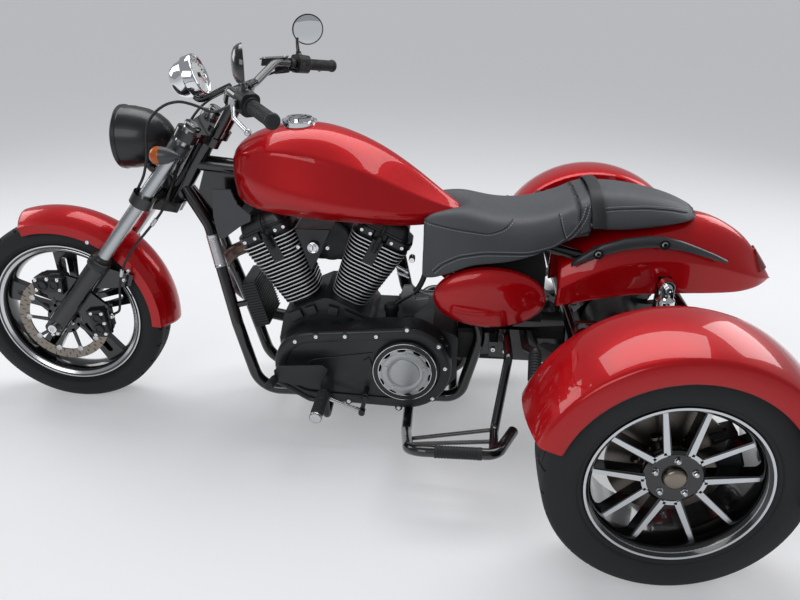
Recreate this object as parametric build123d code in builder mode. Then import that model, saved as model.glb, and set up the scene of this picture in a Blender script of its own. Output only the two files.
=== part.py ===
from build123d import *
import os
from math import atan2, cos, hypot, radians, sin, tan

# A cruiser built as a trike: one steered front wheel, a V-twin engine in a tube frame, and
# two car-size rear wheels on a solid axle. Sizes are in millimetres. A station is a distance
# behind the front axle, y is to the right of the middle plane and z is above the ground.

# Overall layout
wheelbase = 1810.0
tail_reach = 440.0
rear_track = 1400.0
fit_gap = 0.3
run_gap = 1.0

# Tyres and rims
front_tyre_r = 320.0
front_tyre_w = 130.0
front_rim_w = 82.0
rear_tyre_r = 316.0
rear_tyre_w = 205.0
rear_rim_w = 178.0
bead_r = 203.0
flange_r = 218.0
flange_t = 6.0

# Steering head and fork
trail = 48.0
steer_rake = 31.8
fork_rake = 38.2
fork_half_width = 118.0
tube_d = 43.0
slider_d = 60.0
slider_foot = 28.0
slider_top = 296.0
tube_socket = 60.0
tube_top = 827.0
lower_clamp_height = 841.0
upper_clamp_height = 1094.0
clamp_t = 36.0
stem_d = 30.0
neck_d = 56.0
axle_d = 20.0

# Front brake and fender
disc_r = 150.0
disc_t = 5.0
disc_y = -74.5
fender_sheet = 3.0
front_fender_crest_r = 362.0
front_fender_lip_r = 296.0
front_fender_half_w = 81.0

# Bars
bar_d = 25.4
bar_half_width = 465.0
riser_half_gap = 50.0

# Frame tubes
frame_tube_d = 38.0
backbone_d = 50.0
rail_half_width = 92.0
rail_height = 96.0

# Engine
crank_station = 883.0
crank_height = 260.0
vee_half_angle = 25.0
case_half_width = 112.0
deck_height = 172.0
fin_pitch = 12.5
fin_t = 4.0
fin_count = 18
fin_length = 205.0
fin_width = 156.0
barrel_d = 120.0
head_height = 80.0

# Trike rear end
rear_disc_r = 150.0
spindle_d = 40.0
housing_d = 76.0
pad_r = 74.0
cap_r = 30.5
lug_circle_r = 57.0
trike_fender_crown_r = 377.0
trike_fender_crease_r = 350.0
trike_fender_lip_r = 290.0
trike_fender_y = 822.0
trike_fender_inner_y = 580.0

# Places worked out from the sizes
overall_length = front_tyre_r + wheelbase + tail_reach
front_axle_x = front_tyre_r - overall_length / 2
rear_axle_x = front_axle_x + wheelbase
front_hub = Vector(front_axle_x, 0, front_tyre_r)
steer_dir = Vector(sin(radians(steer_rake)), 0, cos(radians(steer_rake)))
steer_fore = Vector(cos(radians(steer_rake)), 0, -sin(radians(steer_rake)))
fork_dir = Vector(sin(radians(fork_rake)), 0, cos(radians(fork_rake)))
steer_foot = Vector(front_axle_x - trail, 0, 0)
crank = Vector(front_axle_x + crank_station, 0, crank_height)


def at(station, y, z):
    """Point at a station behind the front axle."""
    return Vector(front_axle_x + station, y, z)


def side(y):
    """Upright fore-and-aft plane at y; a sketch on it reads station and height."""
    return Plane(origin=(front_axle_x, y, 0), x_dir=(1, 0, 0), z_dir=(0, -1, 0))


def across(station):
    """Upright plane across the machine; a sketch on it reads y and height."""
    return Plane(origin=(front_axle_x + station, 0, 0), x_dir=(0, 1, 0), z_dir=(1, 0, 0))


def level(z):
    """Flat plane at height z; a sketch on it reads station and y."""
    return Plane(origin=(front_axle_x, 0, z), x_dir=(1, 0, 0), z_dir=(0, 0, 1))


def wheel_plane(hub, angle=0):
    """Plane through a wheel's axis at an angle up from rearward; reads radius and y."""
    turn = radians(angle)
    return Plane(origin=hub, x_dir=(cos(turn), 0, sin(turn)), z_dir=(-sin(turn), 0, cos(turn)))


def face_plane(hub, y):
    """Plane square to a wheel's axis at y; reads rearward and upward from the hub."""
    return Plane(origin=(hub.X, y, hub.Z), x_dir=(1, 0, 0), z_dir=(0, -1, 0))


def axle_line(hub):
    """Axis of a wheel, turning from rearward to upward."""
    return Axis((hub.X, hub.Y, hub.Z), (0, -1, 0))


def steer_point(fore, y, height):
    """Point in the steering head: rearward of the stem, to the right, up along the stem."""
    return steer_foot + steer_fore * fore + Vector(0, y, 0) + steer_dir * height


def steer_plane(height):
    """Plane square to the stem; reads rearward of the stem and y."""
    return Plane(origin=steer_foot + steer_dir * height, x_dir=steer_fore, z_dir=steer_dir)


def fork_point(y, distance):
    """Point on a fork leg's axis, a distance up the leg from the wheel axle."""
    return front_hub + Vector(0, y, 0) + fork_dir * distance


def rod(start, end, diameter, mode=Mode.ADD):
    """Straight round bar between two points."""
    run = end - start
    with Locations(Plane(origin=start, z_dir=run).location):
        Cylinder(diameter / 2, run.length, align=(Align.CENTER, Align.CENTER, Align.MIN), mode=mode)


def tube(points, diameter, bend, mode=Mode.ADD):
    """Round tube bent along straight runs; bend is one radius or one for each corner."""
    with BuildLine() as route:
        FilletPolyline(*points, radius=bend)
    path = route.wire()
    with BuildSketch(Plane(origin=path @ 0, z_dir=path % 0)) as section:
        Circle(diameter / 2)
    sweep(section.sketch, path, mode=mode)


def cord(points, diameter, name):
    """Cable or hose through a hand-picked route, each bend as large as its two runs allow."""
    runs = [end - start for start, end in zip(points, points[1:])]
    bends = []
    for before, after in zip(runs, runs[1:]):
        turn = radians(before.get_angle(after))
        bends.append(0.45 * min(before.length, after.length) / tan(turn / 2))
    print(name, "bend radii", [round(bend) for bend in bends])
    tube(points, diameter, bends)


def save(part, name):
    """Label a finished piece and write it."""
    part.label = name
    export_step(part, f"parts/{name}.step")


os.makedirs("parts", exist_ok=True)


# Tyres: a closed ring with a round shoulder, seated on the rim
def tyre(hub, radius, width, rim_width, shoulder_drop, tread_half):
    bead_half = rim_width / 2 - fit_gap
    wall = (radius - shoulder_drop, tread_half + shoulder_drop * 0.5)
    with BuildSketch(wheel_plane(hub)) as profile:
        with BuildLine():
            tread = Line((radius, -tread_half * 0.6), (radius, tread_half * 0.6))
            shoulder = TangentArc(tread @ 1, wall, tangent=tread % 1)
            right_wall = ThreePointArc(shoulder @ 1, (flange_r + 42, width / 2), (flange_r + 2, bead_half))
            bead = Polyline(right_wall @ 1, (bead_r + fit_gap, bead_half),
                            (bead_r + fit_gap, -bead_half), (flange_r + 2, -bead_half))
            left_wall = ThreePointArc(bead @ 1, (flange_r + 42, -width / 2), (wall[0], -wall[1]))
            TangentArc(tread @ 0, left_wall @ 1, tangent=(0, -1))
        make_face()
    revolve(profile.sketch, axis=axle_line(hub))


# Rim ring: flanges at both edges and a plain barrel between them
def rim_ring(hub, rim_width, inner_r):
    half = rim_width / 2
    with BuildSketch(wheel_plane(hub)) as profile:
        with BuildLine():
            Polyline(
                (inner_r, -half - flange_t), (flange_r, -half - flange_t), (flange_r, -half),
                (bead_r, -half), (bead_r, half), (flange_r, half),
                (flange_r, half + flange_t), (inner_r, half + flange_t), close=True)
        make_face()
    revolve(profile.sketch, axis=axle_line(hub))


with BuildPart() as front_tyre:
    tyre(front_hub, front_tyre_r, front_tyre_w, front_rim_w, 26, 42)
save(front_tyre.part, "front_tyre")

# Front wheel: cast hub, five broad slotted spokes
front_inner_r = 192.0
front_hub_r = 40.0
front_hub_left = 69.0
front_hub_right = 62.0
spoke_half_t = 14.0
with BuildPart() as front_rim:
    rim_ring(front_hub, front_rim_w, front_inner_r)
    with BuildSketch(face_plane(front_hub, -spoke_half_t)):
        with PolarLocations(0, 5, start_angle=18):
            with BuildLine():
                Polyline((0, -22), (front_inner_r + 4, -34), (front_inner_r + 4, 34), (0, 22), close=True)
            make_face()
            with Locations((112, 0)):
                SlotOverall(110, 22, mode=Mode.SUBTRACT)
    extrude(amount=-2 * spoke_half_t)
    with BuildSketch(face_plane(front_hub, -front_hub_left)):
        Circle(front_hub_r)
    extrude(amount=-(front_hub_left + front_hub_right))
    with BuildSketch(face_plane(front_hub, -front_hub_left)):
        Circle(axle_d / 2 + fit_gap)
    extrude(amount=-(front_hub_left + front_hub_right), mode=Mode.SUBTRACT)
save(front_rim.part, "front_rim")

# Front disc: a ring on a ten-armed carrier bolted to the hub's left face
carrier_t = 6.0
ring_inner_r = 116.0
with BuildPart() as front_disc:
    with BuildSketch(face_plane(front_hub, disc_y + disc_t / 2)):
        Circle(disc_r)
        Circle(ring_inner_r, mode=Mode.SUBTRACT)
    extrude(amount=disc_t)
    with BuildSketch(face_plane(front_hub, -front_hub_left)):
        Circle(58)
        with PolarLocations(84, 10, start_angle=72):
            Rectangle(72, 14)
        with PolarLocations(ring_inner_r, 10, start_angle=72):
            Circle(11)
        Circle(axle_d / 2 + 6, mode=Mode.SUBTRACT)
    extrude(amount=carrier_t)
save(front_disc.part, "front_disc")

# Front axle: through both sliders and the hub, with a hexagon end on the left
axle_half = fork_half_width + slider_d / 2 + 4
with BuildPart() as front_axle:
    rod(front_hub - Vector(0, axle_half, 0), front_hub + Vector(0, axle_half, 0), axle_d)
    with BuildSketch(face_plane(front_hub, -fork_half_width - slider_d / 2 - fit_gap)):
        Circle(14)
    extrude(amount=12)
    with BuildSketch(face_plane(front_hub, fork_half_width + slider_d / 2 + fit_gap)):
        RegularPolygon(15, 6)
    extrude(amount=-10)
save(front_axle.part, "front_axle")

# Fork sliders: one on each side, bored for the tube, with a boss at the axle and a lug that
# carries the fender; the left one also carries both calipers
lug_inner_y = front_fender_half_w + fit_gap
caliper_y = disc_y + 1.5
caliper_half_w = 26.0
carrier_inner_y = caliper_y - caliper_half_w - fit_gap
with BuildPart() as fork_sliders:
    for hand in (-1, 1):
        leg_y = hand * fork_half_width
        rod(fork_point(leg_y, -slider_foot), fork_point(leg_y, slider_top), slider_d)
        rod(fork_point(leg_y, slider_top - 24), fork_point(leg_y, slider_top), slider_d + 8)
        rod(fork_point(leg_y, slider_top - tube_socket), fork_point(leg_y, slider_top + 1),
            tube_d + 2 * fit_gap, mode=Mode.SUBTRACT)
        rod(front_hub + Vector(0, hand * (fork_half_width - slider_d / 2), 0),
            front_hub + Vector(0, hand * (fork_half_width + slider_d / 2), 0), 46)
        rod(front_hub + Vector(0, hand * (fork_half_width - slider_d), 0),
            front_hub + Vector(0, hand * (fork_half_width + slider_d), 0),
            axle_d + 2 * fit_gap, mode=Mode.SUBTRACT)
        # Fender lug: a plate on the inner side of the slider, reaching back over the fender
        with BuildSketch(side(hand * lug_inner_y)):
            with BuildLine():
                Polyline((110, 500), (150, 520), (262, 488), (250, 452), (170, 440), (110, 440),
                         close=True)
            make_face()
        extrude(amount=-hand * 12)
    # Caliper carriers on the left slider, one reaching back and one ahead
    for corners in (((60, 380), (112, 440), (172, 386), (172, 288), (112, 288)),
                    ((52, 392), (-44, 426), (-44, 484), (34, 492), (104, 472))):
        with BuildSketch(side(carrier_inner_y)):
            with BuildLine():
                Polyline(*corners, close=True)
            make_face()
        extrude(amount=12)
save(fork_sliders.part, "fork_sliders")

# Fork tubes
with BuildPart() as fork_tubes:
    for hand in (-1, 1):
        rod(fork_point(hand * fork_half_width, slider_top - tube_socket + fit_gap),
            fork_point(hand * fork_half_width, tube_top), tube_d)
        rod(fork_point(hand * fork_half_width, tube_top),
            fork_point(hand * fork_half_width, tube_top + 8), tube_d - 6)
save(fork_tubes.part, "fork_tubes")


# Triple clamps: two forged clamps on one stem, bored along the raked legs
def leg_fore(height):
    """How far rearward of the stem a fork leg's axis is, at a height along the stem."""
    lean = radians(fork_rake - steer_rake)
    foot = front_hub - steer_foot
    hub_fore = foot.dot(steer_fore)
    hub_height = foot.dot(steer_dir)
    return hub_fore + (height - hub_height) * tan(lean)


with BuildPart() as triple_clamps:
    for height, thick in ((lower_clamp_height, clamp_t), (upper_clamp_height, clamp_t - 8)):
        fore = leg_fore(height)
        with BuildSketch(steer_plane(height - thick / 2)):
            with Locations((fore, fork_half_width), (fore, -fork_half_width)):
                Circle(tube_d / 2 + 14)
            with Locations((0, 0)):
                Circle(neck_d / 2 + 4)
            with BuildLine():
                Polyline((fore - 22, -fork_half_width), (fore - 22, fork_half_width),
                         (fore + 20, fork_half_width), (neck_d / 2, 40), (neck_d / 2, -40),
                         (fore + 20, -fork_half_width), close=True)
            make_face()
        extrude(amount=thick)
    # Riser seats on the upper clamp
    with BuildSketch(steer_plane(upper_clamp_height - (clamp_t - 8) / 2)):
        with Locations((23.6, riser_half_gap), (23.6, -riser_half_gap)):
            Circle(24)
    extrude(amount=clamp_t - 8)
    rod(steer_point(0, 0, lower_clamp_height - clamp_t / 2 - 8),
        steer_point(0, 0, upper_clamp_height + clamp_t / 2 + 6), stem_d)
    for hand in (-1, 1):
        rod(fork_point(hand * fork_half_width, slider_top + 40),
            fork_point(hand * fork_half_width, tube_top + 60), tube_d + 2 * fit_gap,
            mode=Mode.SUBTRACT)
save(triple_clamps.part, "triple_clamps")

# Front fender: a rolled crown with side lips, from just ahead of the top to the rear
fender_start = -3.5
fender_sweep = 111.5
with BuildPart() as front_fender:
    with BuildSketch(wheel_plane(front_hub, fender_start)):
        for inset, mode in ((0, Mode.ADD), (fender_sheet, Mode.SUBTRACT)):
            half = front_fender_half_w - inset
            crest = front_fender_crest_r - inset
            lip = front_fender_lip_r - inset * 2
            with BuildLine():
                base = Line((lip, half), (lip, -half))
                left = Line(base @ 1, (crest - 34, -half + 4))
                crown = ThreePointArc(left @ 1, (crest, 0), (crest - 34, half - 4))
                Line(crown @ 1, base @ 0)
            make_face(mode=mode)
    revolve(axis=axle_line(front_hub), revolution_arc=fender_sweep)
save(front_fender.part, "front_fender")


# Front calipers: two on the left disc, one behind the leg and one ahead of it
def caliper(hub, slot_mid, slot_w, slot_r, angle, body_r, span, half_w):
    """Caliper that straddles a disc's edge at an angle up from rearward."""
    turn = radians(angle)
    middle = Vector(hub.X + cos(turn) * body_r, slot_mid, hub.Z + sin(turn) * body_r)
    frame = Plane(origin=middle, x_dir=(cos(turn), 0, sin(turn)), z_dir=(-sin(turn), 0, cos(turn)))
    with BuildSketch(frame.offset(-span / 2)) as block:
        RectangleRounded(62, half_w * 2, 9)
    extrude(block.sketch, amount=span)
    with BuildSketch(face_plane(hub, slot_mid + slot_w / 2)) as slot:
        Circle(slot_r)
    extrude(slot.sketch, amount=slot_w, mode=Mode.SUBTRACT)


with BuildPart() as front_calipers:
    for angle in (4, 92):
        with BuildPart(mode=Mode.PRIVATE) as one:
            caliper(front_hub, caliper_y, disc_t + 6 * run_gap, disc_r + 6, angle, 140, 104, caliper_half_w)
        add(one.part)
save(front_calipers.part, "front_calipers")

# Risers: two posts on the upper clamp that carry the bar
riser_base = upper_clamp_height + (clamp_t - 8) / 2
bar_height = 1252.6
bar_fore = 23.6
with BuildPart() as risers:
    for hand in (-1, 1):
        rod(steer_point(bar_fore, hand * riser_half_gap, riser_base + fit_gap),
            steer_point(bar_fore, hand * riser_half_gap, bar_height), 34)
        with BuildSketch(side(hand * riser_half_gap + 17)):
            with Locations((bar_fore * cos(radians(steer_rake)) + bar_height * sin(radians(steer_rake)) - trail,
                            bar_height * cos(radians(steer_rake)) - bar_fore * sin(radians(steer_rake)))):
                Circle(bar_d / 2 + 9)
        extrude(amount=34)
        rod(steer_point(bar_fore, -80, bar_height), steer_point(bar_fore, 80, bar_height),
            bar_d + fit_gap, mode=Mode.SUBTRACT)
save(risers.part, "risers")

# Handlebar: low pulled-back bar
grip_in = (742.0, 356.0, 1087.0)
grip_end = (826.0, bar_half_width, 1068.0)
grip_length = 115.0
elbow_run = 250.0


def along_grip(hand, distance):
    """Point on a grip's axis, a distance inward from its outer end."""
    end = at(grip_end[0], hand * grip_end[1], grip_end[2])
    inner = at(grip_in[0], hand * grip_in[1], grip_in[2])
    return end + (inner - end).normalized() * distance


def by_grip(hand, distance, lift, ahead):
    """Point off a grip's axis: a distance inward from its end, above it and ahead of it."""
    middle = along_grip(hand, distance)
    frame = Plane(origin=middle, x_dir=(0, 0, 1), z_dir=along_grip(hand, distance + 1) - middle)
    return frame.from_local_coords(Vector(lift, hand * ahead, 0))


with BuildPart() as handlebar:
    middle = steer_point(bar_fore, 0, bar_height)
    right = [middle + Vector(0, 150, 0), along_grip(1, elbow_run), along_grip(1, 0)]
    left = [Vector(p.X, -p.Y, p.Z) for p in reversed(right)]
    tube(left + right, bar_d, 60)
save(handlebar.part, "handlebar")

# Grips: rubber sleeves on the bar's ends
with BuildPart() as grips:
    for hand in (-1, 1):
        rod(along_grip(hand, -2), along_grip(hand, grip_length), 34)
        rod(along_grip(hand, grip_length - 8), along_grip(hand, grip_length), 44)
        rod(along_grip(hand, -10), along_grip(hand, -2), 27)
        rod(along_grip(hand, -fit_gap), along_grip(hand, grip_length + 2), bar_d + 2 * fit_gap,
            mode=Mode.SUBTRACT)
save(grips.part, "grips")

# Switch housings with lever perches, clamped round the bar inboard of the grips
housing_length = 46.0
housing_tall = 58.0
housing_deep = 50.0
with BuildPart() as switch_housings:
    for hand in (-1, 1):
        start = along_grip(hand, grip_length + 2)
        frame = Plane(origin=start, x_dir=(0, 0, 1), z_dir=along_grip(hand, grip_length + 3) - start)
        with BuildSketch(frame):
            RectangleRounded(housing_tall, housing_deep, 16)
            Circle(bar_d / 2 + fit_gap, mode=Mode.SUBTRACT)
        extrude(amount=housing_length)
save(switch_housings.part, "switch_housings")

# Brake hose: from the rear caliper up behind the leg, ahead of the stem and along the bar
hose_d = 8.0
hose_drop = 21.0
housing_inner = grip_length + housing_length + 2 + fit_gap


with BuildPart() as brake_hose:
    cord([at(171.6, -84, 344), at(198, -91, 358), at(215, -110, 404), at(228, -124, 468),
          at(252, -131, 534), at(292, -132, 598), at(346, -124, 658), at(394, -106, 716),
          at(420, -74, 790), at(440, -38, 868), at(448, 18, 944), at(484, 86, 1002),
          at(556, 172, 1036), at(634, 246, 1060), by_grip(1, housing_inner + 52, -hose_drop, 0),
          by_grip(1, housing_inner, -hose_drop, 0)], hose_d, "brake_hose")
save(brake_hose.part, "brake_hose")

# Clutch cable: from the left housing forward in a loop and down to the lower clamp
with BuildPart() as clutch_cable:
    socket = steer_point(leg_fore(lower_clamp_height + clamp_t / 2) - 28.6, -fork_half_width,
                         lower_clamp_height + clamp_t / 2 + fit_gap)
    cord([by_grip(-1, housing_inner, -hose_drop, 0), by_grip(-1, housing_inner + 46, -hose_drop, 0),
          at(613, -235, 1036), at(560, -207, 1050), at(508, -184, 1056), at(462, -166, 1044),
          at(424, -152, 1020), at(394, -145, 986), at(382, -141, 940), at(376, -134, 886),
          socket + steer_dir * 48, socket], hose_d, "clutch_cable")
save(clutch_cable.part, "clutch_cable")

# Levers: flat cast blades with a ball end, pivoted ahead of each housing
with BuildPart() as levers:
    for hand in (-1, 1):
        root = by_grip(hand, grip_length + 28, -4, housing_deep / 2 + 9 + fit_gap)
        bend = by_grip(hand, grip_length - 40, -12, 62)
        tip = by_grip(hand, -4, -20, 62)
        rod(root, bend, 13)
        rod(bend, tip, 11)
        with Locations(bend):
            Sphere(6.4)
        with Locations(tip):
            Sphere(9)
        rod(root - Vector(0, 0, 9), root + Vector(0, 0, 14), 18)
save(levers.part, "levers")

# Mirrors: bent stems on the housings and a tapered shell each
mirror_heads = ((-1, (742, 412, 1188)), (1, (754, 398, 1208)))
with BuildPart() as mirrors:
    for hand, centre in mirror_heads:
        head = at(centre[0], hand * centre[1], centre[2])
        foot_lift = housing_tall / 2 + fit_gap
        tube([by_grip(hand, grip_length + 30, foot_lift, 0), by_grip(hand, grip_length + 30, foot_lift + 40, 0),
              head], 12, 12)
        with BuildSketch(Plane(origin=head + Vector(-6, 0, 0), x_dir=(0, 1, 0), z_dir=(1, 0, 0.12))):
            SlotOverall(116, 74)
        extrude(amount=16, taper=8)
save(mirrors.part, "mirrors")

# Headlight: bullet shell with a deep rim, on a stalk from the lower clamp
lamp_face = at(228, 0, 912)
lamp_r = 98.0
with BuildPart() as headlight:
    with BuildSketch(Plane(origin=lamp_face, x_dir=(1, 0, 0), z_dir=(0, 1, 0))):
        with BuildLine():
            front = Polyline((26, 0), (26, -lamp_r + 12), (0, -lamp_r + 12), (0, -lamp_r), (30, -lamp_r))
            shell = ThreePointArc(front @ 1, (110, -lamp_r * 0.8), (172, 0))
            Line(shell @ 1, front @ 0)
        make_face()
    revolve(axis=Axis(lamp_face, (1, 0, 0)))
    stalk_foot = lower_clamp_height + clamp_t / 2 + fit_gap
    tube([lamp_face + Vector(60, 0, -lamp_r + 26), lamp_face + Vector(100, 0, -lamp_r - 20),
          steer_point(-42, 0, stalk_foot + 46), steer_point(-42, 0, stalk_foot)], 28, 20)
save(headlight.part, "headlight")

with BuildPart() as headlight_lens:
    with BuildSketch(Plane(origin=lamp_face, x_dir=(1, 0, 0), z_dir=(0, 1, 0))):
        with BuildLine():
            edge = lamp_r - 12 - fit_gap
            dome = ThreePointArc((-10, 0), (-6.4, -edge / 2), (4.6, -edge))
            back = Polyline(dome @ 1, (12, -edge), (12, 0))
            Line(back @ 1, dome @ 0)
        make_face()
    revolve(axis=Axis(lamp_face, (1, 0, 0)))
save(headlight_lens.part, "headlight_lens")

# Speedometer: a chrome cup held on the bar, its dial facing the rider
speedo_middle = at(470, 0, 1086)
speedo_dir = Vector(0.94, 0, 0.34)
with BuildPart() as speedometer:
    back = speedo_middle - speedo_dir * 46
    with BuildSketch(Plane(origin=back, x_dir=speedo_dir, z_dir=(0, 1, 0))):
        with BuildLine():
            cup = ThreePointArc((0, 0), (16, -44), (54, -56))
            rim = Polyline(cup @ 1, (60, -60), (92, -60), (92, -53), (84, -53), (84, 0), (0, 0))
        make_face()
    revolve(axis=Axis(back, speedo_dir))
    bar_middle = steer_point(bar_fore, 0, bar_height)
    bracket = bar_middle - (speedo_middle + Vector(0, 0, -30))
    rod(speedo_middle + Vector(0, 0, -30), bar_middle - bracket.normalized() * (bar_d / 2 + fit_gap), 22)
save(speedometer.part, "speedometer")

# Turn signals: pods on arms clamped round the fork tubes under the upper clamp
signal_distance = 752.0
with BuildPart() as turn_signals:
    for hand in (-1, 1):
        ring = fork_point(hand * fork_half_width, signal_distance)
        rod(ring - fork_dir * 16, ring + fork_dir * 16, tube_d + 16)
        rod(ring, ring + Vector(-14, hand * 62, -6), 20)
        pod = ring + Vector(-14, hand * 74, -6)
        with BuildSketch(Plane(origin=pod, x_dir=(1, 0, 0), z_dir=(0, 1, 0))):
            with BuildLine():
                glass = Polyline((-34, 0), (-34, -18), (-26, -23))
                shell = ThreePointArc(glass @ 1, (10, -19), (40, 0))
                Line(shell @ 1, glass @ 0)
            make_face()
        revolve(axis=Axis(pod, (1, 0, 0)))
        rod(ring - fork_dir * 17, ring + fork_dir * 17, tube_d + 2 * fit_gap, mode=Mode.SUBTRACT)
save(turn_signals.part, "turn_signals")

# Frame: steering neck, backbone, twin downtubes and rails, and the rear loop
neck_low = lower_clamp_height + clamp_t / 2 + fit_gap
neck_high = upper_clamp_height - (clamp_t - 8) / 2 - fit_gap
cross_station = 1236.0
upright_station = 1372.0
seat_rail_height = 668.0
seat_rail_d = 32.0
lug_half_y = 98.0
pivot_height = 300.0
tab_stations = (892.0, 1150.0)
tab_outer_y = rail_half_width + frame_tube_d / 2 + 1
tray_station = 1453.0
box_bottom = 372.0
cooler_face = (623.9, 400.0)
tank_pegs = ((700.0, 818.0), (1150.0, 748.0))
tunnel_half_y = backbone_d / 2 + 6
with BuildPart() as frame:
    rod(steer_point(0, 0, neck_low), steer_point(0, 0, neck_high), neck_d)
    tube([steer_point(6, 0, neck_low + 130), at(760, 0, 812), at(1100, 0, 765),
          at(cross_station - 10, 0, 720), at(cross_station - 3, 0, seat_rail_height - 7)],
         backbone_d, [200, 100, 34])
    rod(at(cross_station, -120, seat_rail_height), at(cross_station, 120, seat_rail_height), frame_tube_d)
    for hand in (-1, 1):
        tube([steer_point(10, hand * 12, neck_low + 40), at(506, hand * 30, 645),
              at(585, hand * 84, 330), at(648, hand * rail_half_width, rail_height),
              at(upright_station - 60, hand * rail_half_width, rail_height),
              at(upright_station, hand * rail_half_width, 330),
              at(cross_station + 20, hand * 100, seat_rail_height - 20)],
             frame_tube_d, [90, 90, 90, 60, 120])
        tube([at(cross_station - 10, hand * 90, seat_rail_height), at(1420, hand * 104, seat_rail_height),
              at(1560, hand * 108, 640), at(1650, hand * 108, 616)], seat_rail_d, [120, 120])
        # Lug for the rear chassis
        with BuildSketch(side(hand * lug_half_y)):
            with BuildLine():
                Polyline((1352, pivot_height - 40), (1470, pivot_height - 24), (1470, box_bottom - 2),
                         (1436, box_bottom - 2), (1420, pivot_height + 40), (1352, pivot_height + 40),
                         close=True)
            make_face()
        extrude(amount=hand * 14)
        # Tabs on the rail for the foot controls and the step
        for station in tab_stations:
            with BuildSketch(side(hand * rail_half_width)):
                with Locations((station, rail_height - 6)):
                    Rectangle(46, 42)
            extrude(amount=-hand * (tab_outer_y - rail_half_width))
    # Gusset behind the neck, pegs that carry the tank, and the battery tray's tube
    with BuildSketch(side(6)):
        with BuildLine():
            Polyline((474, 750), (518, 655), (604, 694), (690, 812), (500, 826), close=True)
        make_face()
    extrude(amount=12)
    for station, height in tank_pegs:
        rod(at(station, -tunnel_half_y + fit_gap, height), at(station, tunnel_half_y - fit_gap, height), 26)
    rod(at(tray_station, -lug_half_y + 2, box_bottom - fit_gap - 14),
        at(tray_station, lug_half_y - 2, box_bottom - fit_gap - 14), 28)
    for hand in (-1, 1):
        rod(at(571.7, hand * 68, 386.2), at(cooler_face[0] - fit_gap, hand * 68, cooler_face[1]), 20)
    for station in (690, upright_station - 80):
        rod(at(station, -rail_half_width, rail_height), at(station, rail_half_width, rail_height), 32)
    rod(steer_point(0, 0, neck_low - 1), steer_point(0, 0, neck_high + 1), stem_d + 2 * fit_gap,
        mode=Mode.SUBTRACT)
save(frame.part, "frame")

# Neck covers: a formed plate on each side, from the neck back to the tank's nose
neck_cover_y = 70.0
with BuildPart() as neck_covers:
    for hand in (-1, 1):
        with BuildSketch(side(hand * neck_cover_y)):
            with BuildLine():
                Polyline((540, 776), (596, 776), (612, 732), (652, 698), (650, 678), (622, 664),
                         (564, 620), (548, 620), (536, 690), close=True)
            make_face()
        extrude(amount=-hand * 8)
        rod(at(580, hand * (neck_cover_y + 1), 716), at(580, hand * (6 + fit_gap), 716), 16)
save(neck_covers.part, "neck_covers")

# Crankcase and gearbox: one casting with two decks for the cylinders
with BuildPart() as crankcase:
    with BuildSketch(side(case_half_width)):
        with BuildLine():
            lean = radians(vee_half_angle)
            decks = []
            for hand in (-1, 1):
                middle = (crank_station + hand * deck_height * sin(lean),
                          crank_height + deck_height * cos(lean))
                step = (70 * cos(lean), -hand * 70 * sin(lean))
                decks += [(middle[0] - step[0], middle[1] - step[1]),
                          (middle[0] + step[0], middle[1] + step[1])]
            Polyline((735, 190), (728, 300), *decks, (1036, 362), (1220, 362), (1300, 330),
                     (1300, 180), (1262, 134), (790, 134), close=True)
        make_face()
        fillet(vertices().sort_by(Axis.Y)[0:6], 22)
    extrude(amount=2 * case_half_width)
save(crankcase.part, "crankcase")


# Cylinders: a finned barrel and head on each deck, their fins cut back where they meet
def cylinder_plane(hand, distance):
    """Plane square to a cylinder at a distance from the crank; hand -1 leans forward."""
    lean = radians(vee_half_angle) * hand
    up = Vector(sin(lean), 0, cos(lean))
    return Plane(origin=crank + up * distance, x_dir=(cos(lean), 0, -sin(lean)), z_dir=up)


fin_start = deck_height + 8
head_base = fin_start + fin_count * fin_pitch
head_top = head_base + head_height


with BuildPart() as cylinders:
    for hand in (-1, 1):
        with BuildPart(mode=Mode.PRIVATE) as one:
            with BuildSketch(cylinder_plane(hand, deck_height + fit_gap)):
                Circle(barrel_d / 2)
            extrude(amount=head_base - deck_height)
            for step in range(fin_count):
                with BuildSketch(cylinder_plane(hand, fin_start + step * fin_pitch)):
                    RectangleRounded(fin_length, fin_width, 34)
                extrude(amount=fin_t)
            # Bare pad in the middle of the left side
            with BuildSketch(cylinder_plane(hand, fin_start)):
                with Locations((0, -fin_width / 2 + 8)):
                    Rectangle(34, 12)
            extrude(amount=head_base - fin_start)
            split(bisect_by=Plane(origin=crank + Vector(hand * run_gap, 0, 0), z_dir=(hand, 0, 0)),
                  keep=Keep.TOP)
        add(one.part)
save(cylinders.part, "cylinders")

# Rocker covers: a domed box on each head
with BuildPart() as rocker_covers:
    for hand in (-1, 1):
        with BuildSketch(cylinder_plane(hand, head_base + fit_gap)):
            with Locations((hand * 8, 0)):
                RectangleRounded(160, 132, 30)
        extrude(amount=head_height, taper=7)
save(rocker_covers.part, "rocker_covers")

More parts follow.
